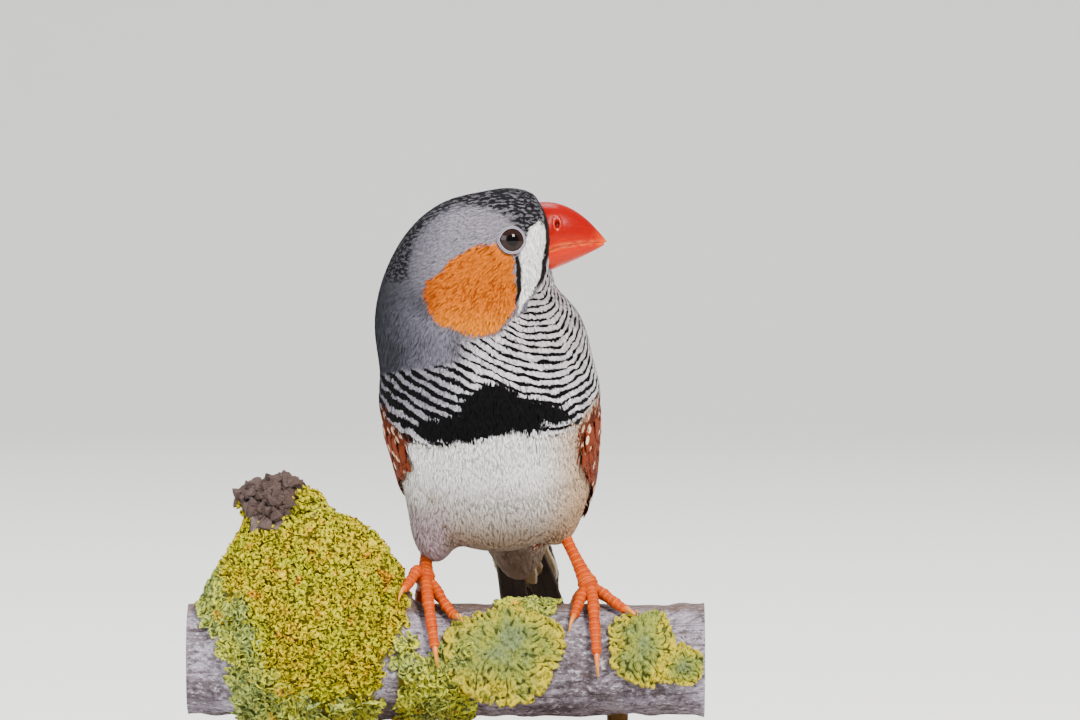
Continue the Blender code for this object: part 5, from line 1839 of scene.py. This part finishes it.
def make_base():
    """The turned round base with a bead round its foot, a groove and a softened upper edge."""
    r = BASE_RADIUS
    h = BASE_HEIGHT
    profile = [
        (r - 3.0, 0.0), (r - 0.5, 0.0), (r - 0.12, 0.12), (r, 0.5), (r, 1.6), (r - 0.15, 1.9), (r - 0.8, 2.1),
        (r - 0.8, 2.5), (r - 0.3, 2.8)
    ]
    profile += [
        (r - 0.3 - 1.9 * (1 - math.cos(t)), h - 2.4 + 2.4 * math.sin(t)) for t in np.linspace(0, 1.45, 9)
    ]
    profile += [
        (r - 3.2, h), (r - 5.0, h), (r - 5.25, h - 0.28), (r - 5.6, h - 0.28), (r - 5.85, h), (r - 12.0, h),
        (r * 0.4, h), (2.0, h)
    ]
    return turned_piece("turned_base", profile, -BIRD_PLACE)


def make_rod(side, x):
    """One brass rod from the base into the underside of the perch, with a small collar at its foot."""
    foot = BASE_HEIGHT - BIRD_PLACE[2]
    reach = -2 * PERCH_RADIUS + 0.6 - foot
    profile = [
        (0.8, -1.5), (1.6, -1.5), (1.6, 0.0), (2.7, 0.02), (2.8, 0.2), (2.8, 0.7), (2.6, 0.95), (1.9, 1.1),
        (1.6, 1.35), (1.6, reach), (0.8, reach)
    ]
    return turned_piece(f"brass_rod_{side}", profile, (x, 0.0, foot), 32)


def turned_wood_material():
    """Oiled dark hardwood, turned: brown with fine grain lines and open pores, satin from its finish."""
    made, add, shader, place = new_material(
        "oiled_turned_wood", 0.42, Specular_IOR_Level=0.4, Coat_Weight=0.15
    )
    grain = add("TexNoise", add("Mapping", place, Scale=(0.05, 1.0, 1.0)), per(1.2), 4.0)
    broad = add("TexNoise", add("Mapping", place, Scale=(0.15, 1.0, 1.0)), per(14.0), 3.0)
    pores = add("TexNoise", add("Mapping", place, Scale=(0.08, 1.0, 1.0)), per(0.35), 2.0)
    colour = add("Mix", add("MapRange", grain, 0.35, 0.65), "4A2F1C", "7A5434")
    colour = add("Mix", add("Math", broad, 0.6), colour, "5C3D25")
    colour = add("Mix", add("MapRange", pores, 0.4, 0.28, 0.0, 0.7), colour, "24150C")
    rough = add("MapRange", pores, 0.0, 1.0, 0.36, 0.55, interpolation_type="LINEAR")
    feed(shader, Base_Color=colour, Roughness=rough, Normal=add("Bump", 0.25, 0.06 * MM, Height=pores))
    return made


def brass_material():
    """Satin brass rod: warm yellow metal drawn lengthwise, with faint lines and a little tarnish."""
    made, add, shader, place = new_material("satin_drawn_brass", 0.32, Metallic=1.0)
    lines = add("TexNoise", add("Mapping", place, Scale=(1.0, 1.0, 0.05)), per(0.15), 2.0)
    stain = add("TexNoise", place, per(3.0), 3.0)
    colour = add("Mix", add("MapRange", stain, 0.5, 0.8), "C9A25C", "8F6B38")
    rough = add("MapRange", lines, 0.0, 1.0, 0.26, 0.42, interpolation_type="LINEAR")
    feed(shader, Base_Color=colour, Roughness=rough)
    return made


# Stage

VIEW_CENTRE = np.array([13.35, -12.5, 68.45])  # the middle of the view, in millimetres over the floor
VIEW_DISTANCE = 1200.0
VIEW_RISE = 2.0  # degrees that the camera looks down
VIEW_WIDTH = 162.0  # what the view takes in at the bird, from side to side


def aim(made, target):
    """Turns a lamp or camera so that it looks at a target."""
    way = Vector(target) - made.location
    made.rotation_euler = way.to_track_quat("-Z", "Y").to_euler()


def make_camera():
    camera = bpy.data.cameras.new("view")
    camera.sensor_width = 36.0
    camera.lens = 36.0 * VIEW_DISTANCE / VIEW_WIDTH
    camera.clip_start = 0.05
    camera.clip_end = 20.0
    made = in_scene("view", camera)
    rise = math.radians(VIEW_RISE)
    back = np.array([0.0, -math.cos(rise), math.sin(rise)])
    made.location = Vector((VIEW_CENTRE + back * VIEW_DISTANCE) * MM)
    aim(made, Vector(VIEW_CENTRE * MM))
    bpy.context.scene.camera = made


def make_floor():
    """A pale floor that curves up into a backdrop far behind."""
    half = 2.4
    rows = [(y, 0.0) for y in np.linspace(-3.0, 1.3, 8)]
    rows += [(1.3 + 0.8 * math.sin(t), 0.8 - 0.8 * math.cos(t)) for t in np.linspace(0.1, math.pi / 2, 16)]
    rows += [(2.1, 2.6)]
    mesh = bpy.data.meshes.new("floor")
    points = [(x, y, z - 0.0002) for y, z in rows for x in (-half, half)]
    faces = [(2 * i, 2 * i + 1, 2 * i + 3, 2 * i + 2) for i in range(len(rows) - 1)]
    mesh.from_pydata(points, [], faces)
    mesh.shade_smooth()
    floor = in_scene("floor", mesh)
    made, add, shader, place = new_material("pale_paper_sweep", 0.9, Specular_IOR_Level=0.1)
    tone = add("Mix", add("TexNoise", place, 6.0, 2.0), "EDEDEB", "F0F0EE")
    feed(shader, Base_Color=tone)
    mesh.materials.append(made)


def add_lamp(name, place, size, power, colour):
    lamp = bpy.data.lights.new(name, "AREA")
    lamp.size = size
    lamp.energy = power
    lamp.color = colour_of(colour)[:3]
    made = in_scene(name, lamp)
    made.location = place
    aim(made, (0.006, -0.012, 0.07))


def make_lights():
    add_lamp("key_light", (0.62, -1.1, 1.2), 0.5, 62.0, "FFF8F0")
    add_lamp("fill_light", (-1.1, -0.9, 0.6), 0.9, 20.0, "F2F5FF")
    add_lamp("top_light", (-0.1, 0.4, 1.3), 0.8, 20.0, "FFFFFF")
    world = bpy.data.worlds.new("studio")
    world.use_nodes = True
    ground = world.node_tree.nodes["Background"]
    ground.inputs["Color"].default_value = colour_of("E6EAEE")
    ground.inputs["Strength"].default_value = 0.55
    bpy.context.scene.world = world


# Settings, operators and panel

def colour_choice(name, description, code):
    return FloatVectorProperty(
        name=name, description=description, default=colour_of(code), size=4, subtype="COLOR", min=0.0, max=1.0
    )


class FinchSettings(bpy.types.PropertyGroup):
    """Sizes and colours of the finch and its perch"""

    spacing: FloatProperty(
        name="Feather spacing", description="Room between feathers, as a share of the usual room",
        default=1.0, min=0.6, max=3.0, subtype="FACTOR"
    )
    lichen_spacing: FloatProperty(
        name="Lichen spacing", description="Least room between lichen lobes", default=0.0005, min=0.0003,
        max=0.005, subtype="DISTANCE", unit="LENGTH"
    )
    lichen_seed: IntProperty(
        name="Lichen seed", description="Number that the lichen is strewn from", default=4, min=0
    )
    neck_grey: colour_choice("Neck grey", "Darker grey of the neck and nape", "4E4E56")
    neck_pale: colour_choice("Neck pale", "Paler grey of the neck", "6A6874")
    face_grey: colour_choice("Face grey", "Grey of the face and the crown's ground", "85818C")
    crown_dark: colour_choice("Crown marks", "Dark marks of the crown", "0E0E12")
    bar_black: colour_choice("Bar black", "Dark bars and breast band", "050507")
    cheek_orange: colour_choice("Cheek orange", "Bright orange of the cheek", "C86600")
    cheek_deep: colour_choice("Cheek deep", "Deep orange between the cheek's barbs", "943C00")
    flank_chestnut: colour_choice("Flank chestnut", "Chestnut of the flanks", "803414")
    back_brown: colour_choice("Back brown", "Grey brown of the back", "6C6156")
    bill_red: colour_choice("Bill red", "Red of the upper half of the bill", "880000")
    bill_orange: colour_choice("Bill orange", "Orange of the lower half of the bill", "B02000")
    lichen_yellow: colour_choice("Lichen yellow", "Sunlit leafy lichen", "B8A800")
    lichen_green: colour_choice("Lichen green", "Shaded leafy lichen", "8E9C50")


class Maker:
    """What every operator here does: it makes its pieces from the scene's settings"""

    def execute(self, context):
        self.make(context.scene.finch)
        return {"FINISHED"}


class FINCH_OT_stage(Maker, bpy.types.Operator):
    """Make the floor, the lights and the camera"""

    bl_idname = "finch.stage"
    bl_label = "Stage"

    def make(self, settings):
        make_camera()
        make_floor()
        make_lights()


class FINCH_OT_coat(Maker, bpy.types.Operator):
    """Make the skin and its coat of feathers"""

    bl_idname = "finch.coat"
    bl_label = "Skin and coat"

    def make(self, settings):
        skin, pieces = make_coat(settings.spacing)
        dress([skin, *pieces], plumage_material(settings))
        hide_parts("head", "neck", "torso", "thigh_right", "thigh_left")


class FINCH_OT_bill(Maker, bpy.types.Operator):
    """Make both halves of the bill"""

    bl_idname = "finch.bill"
    bl_label = "Bill"

    def make(self, settings):
        look = bill_material(settings)
        for lower, node in ((False, "bill_upper"), (True, "bill_lower")):
            piece = make_bill_half(lower)
            dress([piece], look)
            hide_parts(node)


class FINCH_OT_eyes(Maker, bpy.types.Operator):
    """Make both eyes and their lids"""

    bl_idname = "finch.eyes"
    bl_label = "Eyes"

    def make(self, settings):
        gloss = eye_material()
        rim = lid_material()
        for side, (middle, out) in eye_places().items():
            ball = make_eye(side, middle, out)
            dress([ball], gloss)
            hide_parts(f"eye_{side}")
            dress([make_lid(side, middle, out)], rim)


class FINCH_OT_legs(Maker, bpy.types.Operator):
    """Make the shanks, the toes and the claws"""

    bl_idname = "finch.legs"
    bl_label = "Legs and feet"

    def make(self, settings):
        scutes = leg_material()
        horn = claw_material()
        for foot in ("right", "left"):
            shank = make_shank_piece(foot)
            toes = make_toes(foot)
            for piece, node in ((shank, f"shank_{foot}"), (toes, f"foot_{foot}")):
                dress([piece], scutes)
                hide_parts(node)
            for claw, node in make_claws(foot):
                dress([claw], horn)
                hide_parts(node)


class FINCH_OT_wings(Maker, bpy.types.Operator):
    """Make the folded wings"""

    bl_idname = "finch.wings"
    bl_label = "Wings"

    def make(self, settings):
        look = vane_material("sleek_brown_flight_feathers", "544A40", "766B5D", "A69883")
        for side, node in ((-1, "wing_right"), (1, "wing_left")):
            vanes = make_wing_vanes(side)
            dress([vanes, make_wing_coverts(side)], look)
            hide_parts(node)


class FINCH_OT_tail(Maker, bpy.types.Operator):
    """Make the tail with its coverts"""

    bl_idname = "finch.tail"
    bl_label = "Tail"

    def make(self, settings):
        tail, barred, pale = make_tail_vanes()
        blackish = vane_material("blackish_tail_feathers", "1B1714", "3A332D", "5A5148")
        bars = vane_material("barred_tail_coverts", "171413", "2A2523", "8A8480", "ECE9E2")
        buff = vane_material("buff_white_undertail", "6E5A3C", "9C8460", "C8BCA4")
        dress([tail], blackish)
        dress([barred], bars)
        dress([pale], buff)
        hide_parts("tail")


class FINCH_OT_perch(Maker, bpy.types.Operator):
    """Make the branch and the lichens on it"""

    bl_idname = "finch.perch"
    bl_label = "Perch"

    def make(self, settings):
        bark = make_bark()
        bark.data.materials.append(bark_material("weathered_bark", "5E565C", "928B98"))
        bark.data.materials.append(cut_wood_material())
        # The third colour given to each lichen is the painted shade of its hollows
        sunny = lichen_material(
            "dry_yellow_lichen", settings.lichen_yellow, "A8A808", "343004", "CCA400", "BC8400"
        )
        shaded = lichen_material(
            "dry_pale_lichen", "B2B432", settings.lichen_green, "46502A", "A8AC40", "B89420"
        )
        dead = bark_material("flaked_dead_bark", "2C2628", "6A6066")
        space = settings.lichen_spacing
        seed = settings.lichen_seed
        forms = ("curl", "cup", "grain", "lobe")
        growths = [
            grow(bark, "fine_left", "lichen_fine_left", forms, 7, sunny, (space, 0.4, 0.9, 0.7, seed)),
            grow(bark, "fine_right", "lichen_fine_right", forms, 7, sunny, (space, 0.4, 0.9, 0.7, seed)),
            grow(
                bark, "broad", "lichen_broad", ("lobe", "curl"), 12, shaded,
                (space * 1.7, 0.7, 1.3, 0.55, seed)
            ),
            grow(bark, "flakes", "bark_flakes", ("flake",), 6, dead, (space * 1.4, 0.5, 1.5, 1.2, seed))
        ]
        chalk = rosette_material()
        dress([bark, *growths], None)
        dress([make_rosette(*entry) for entry in ROSETTE_PLACES], chalk)
        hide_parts("perch")


class FINCH_OT_stand(Maker, bpy.types.Operator):
    """Make the turned base and the two rods"""

    bl_idname = "finch.stand"
    bl_label = "Display stand"

    def make(self, settings):
        base = make_base()
        dress([base], turned_wood_material())
        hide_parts("stand_base")
        brass = brass_material()
        for side, x in ROD_PLACES.items():
            rod = make_rod(side, x)
            dress([rod], brass)
            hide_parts(f"stand_rod_{side}")


OPERATORS = (
    FINCH_OT_stage, FINCH_OT_coat, FINCH_OT_bill, FINCH_OT_eyes, FINCH_OT_legs, FINCH_OT_wings, FINCH_OT_tail,
    FINCH_OT_perch, FINCH_OT_stand,
)


class FINCH_PT_panel(bpy.types.Panel):
    """Lists the finch's pieces and settings"""

    bl_label = "Finch"
    bl_idname = "FINCH_PT_panel"
    bl_space_type = "VIEW_3D"
    bl_region_type = "UI"
    bl_category = "Finch"

    def draw(self, context):
        layout = self.layout
        for operator in OPERATORS:
            layout.operator(operator.bl_idname)
        for name in FinchSettings.__annotations__:
            layout.prop(context.scene.finch, name)


CLASSES = (FinchSettings, *OPERATORS, FINCH_PT_panel)


def register():
    for made in CLASSES:
        bpy.utils.register_class(made)
    bpy.types.Scene.finch = PointerProperty(type=FinchSettings)


def unregister():
    del bpy.types.Scene.finch
    for made in reversed(CLASSES):
        bpy.utils.unregister_class(made)


def main():
    register()
    for name in ("stage", "coat", "bill", "eyes", "legs", "wings", "tail", "perch", "stand"):
        getattr(bpy.ops.finch, name)()


if __name__ == "__main__":
    main()
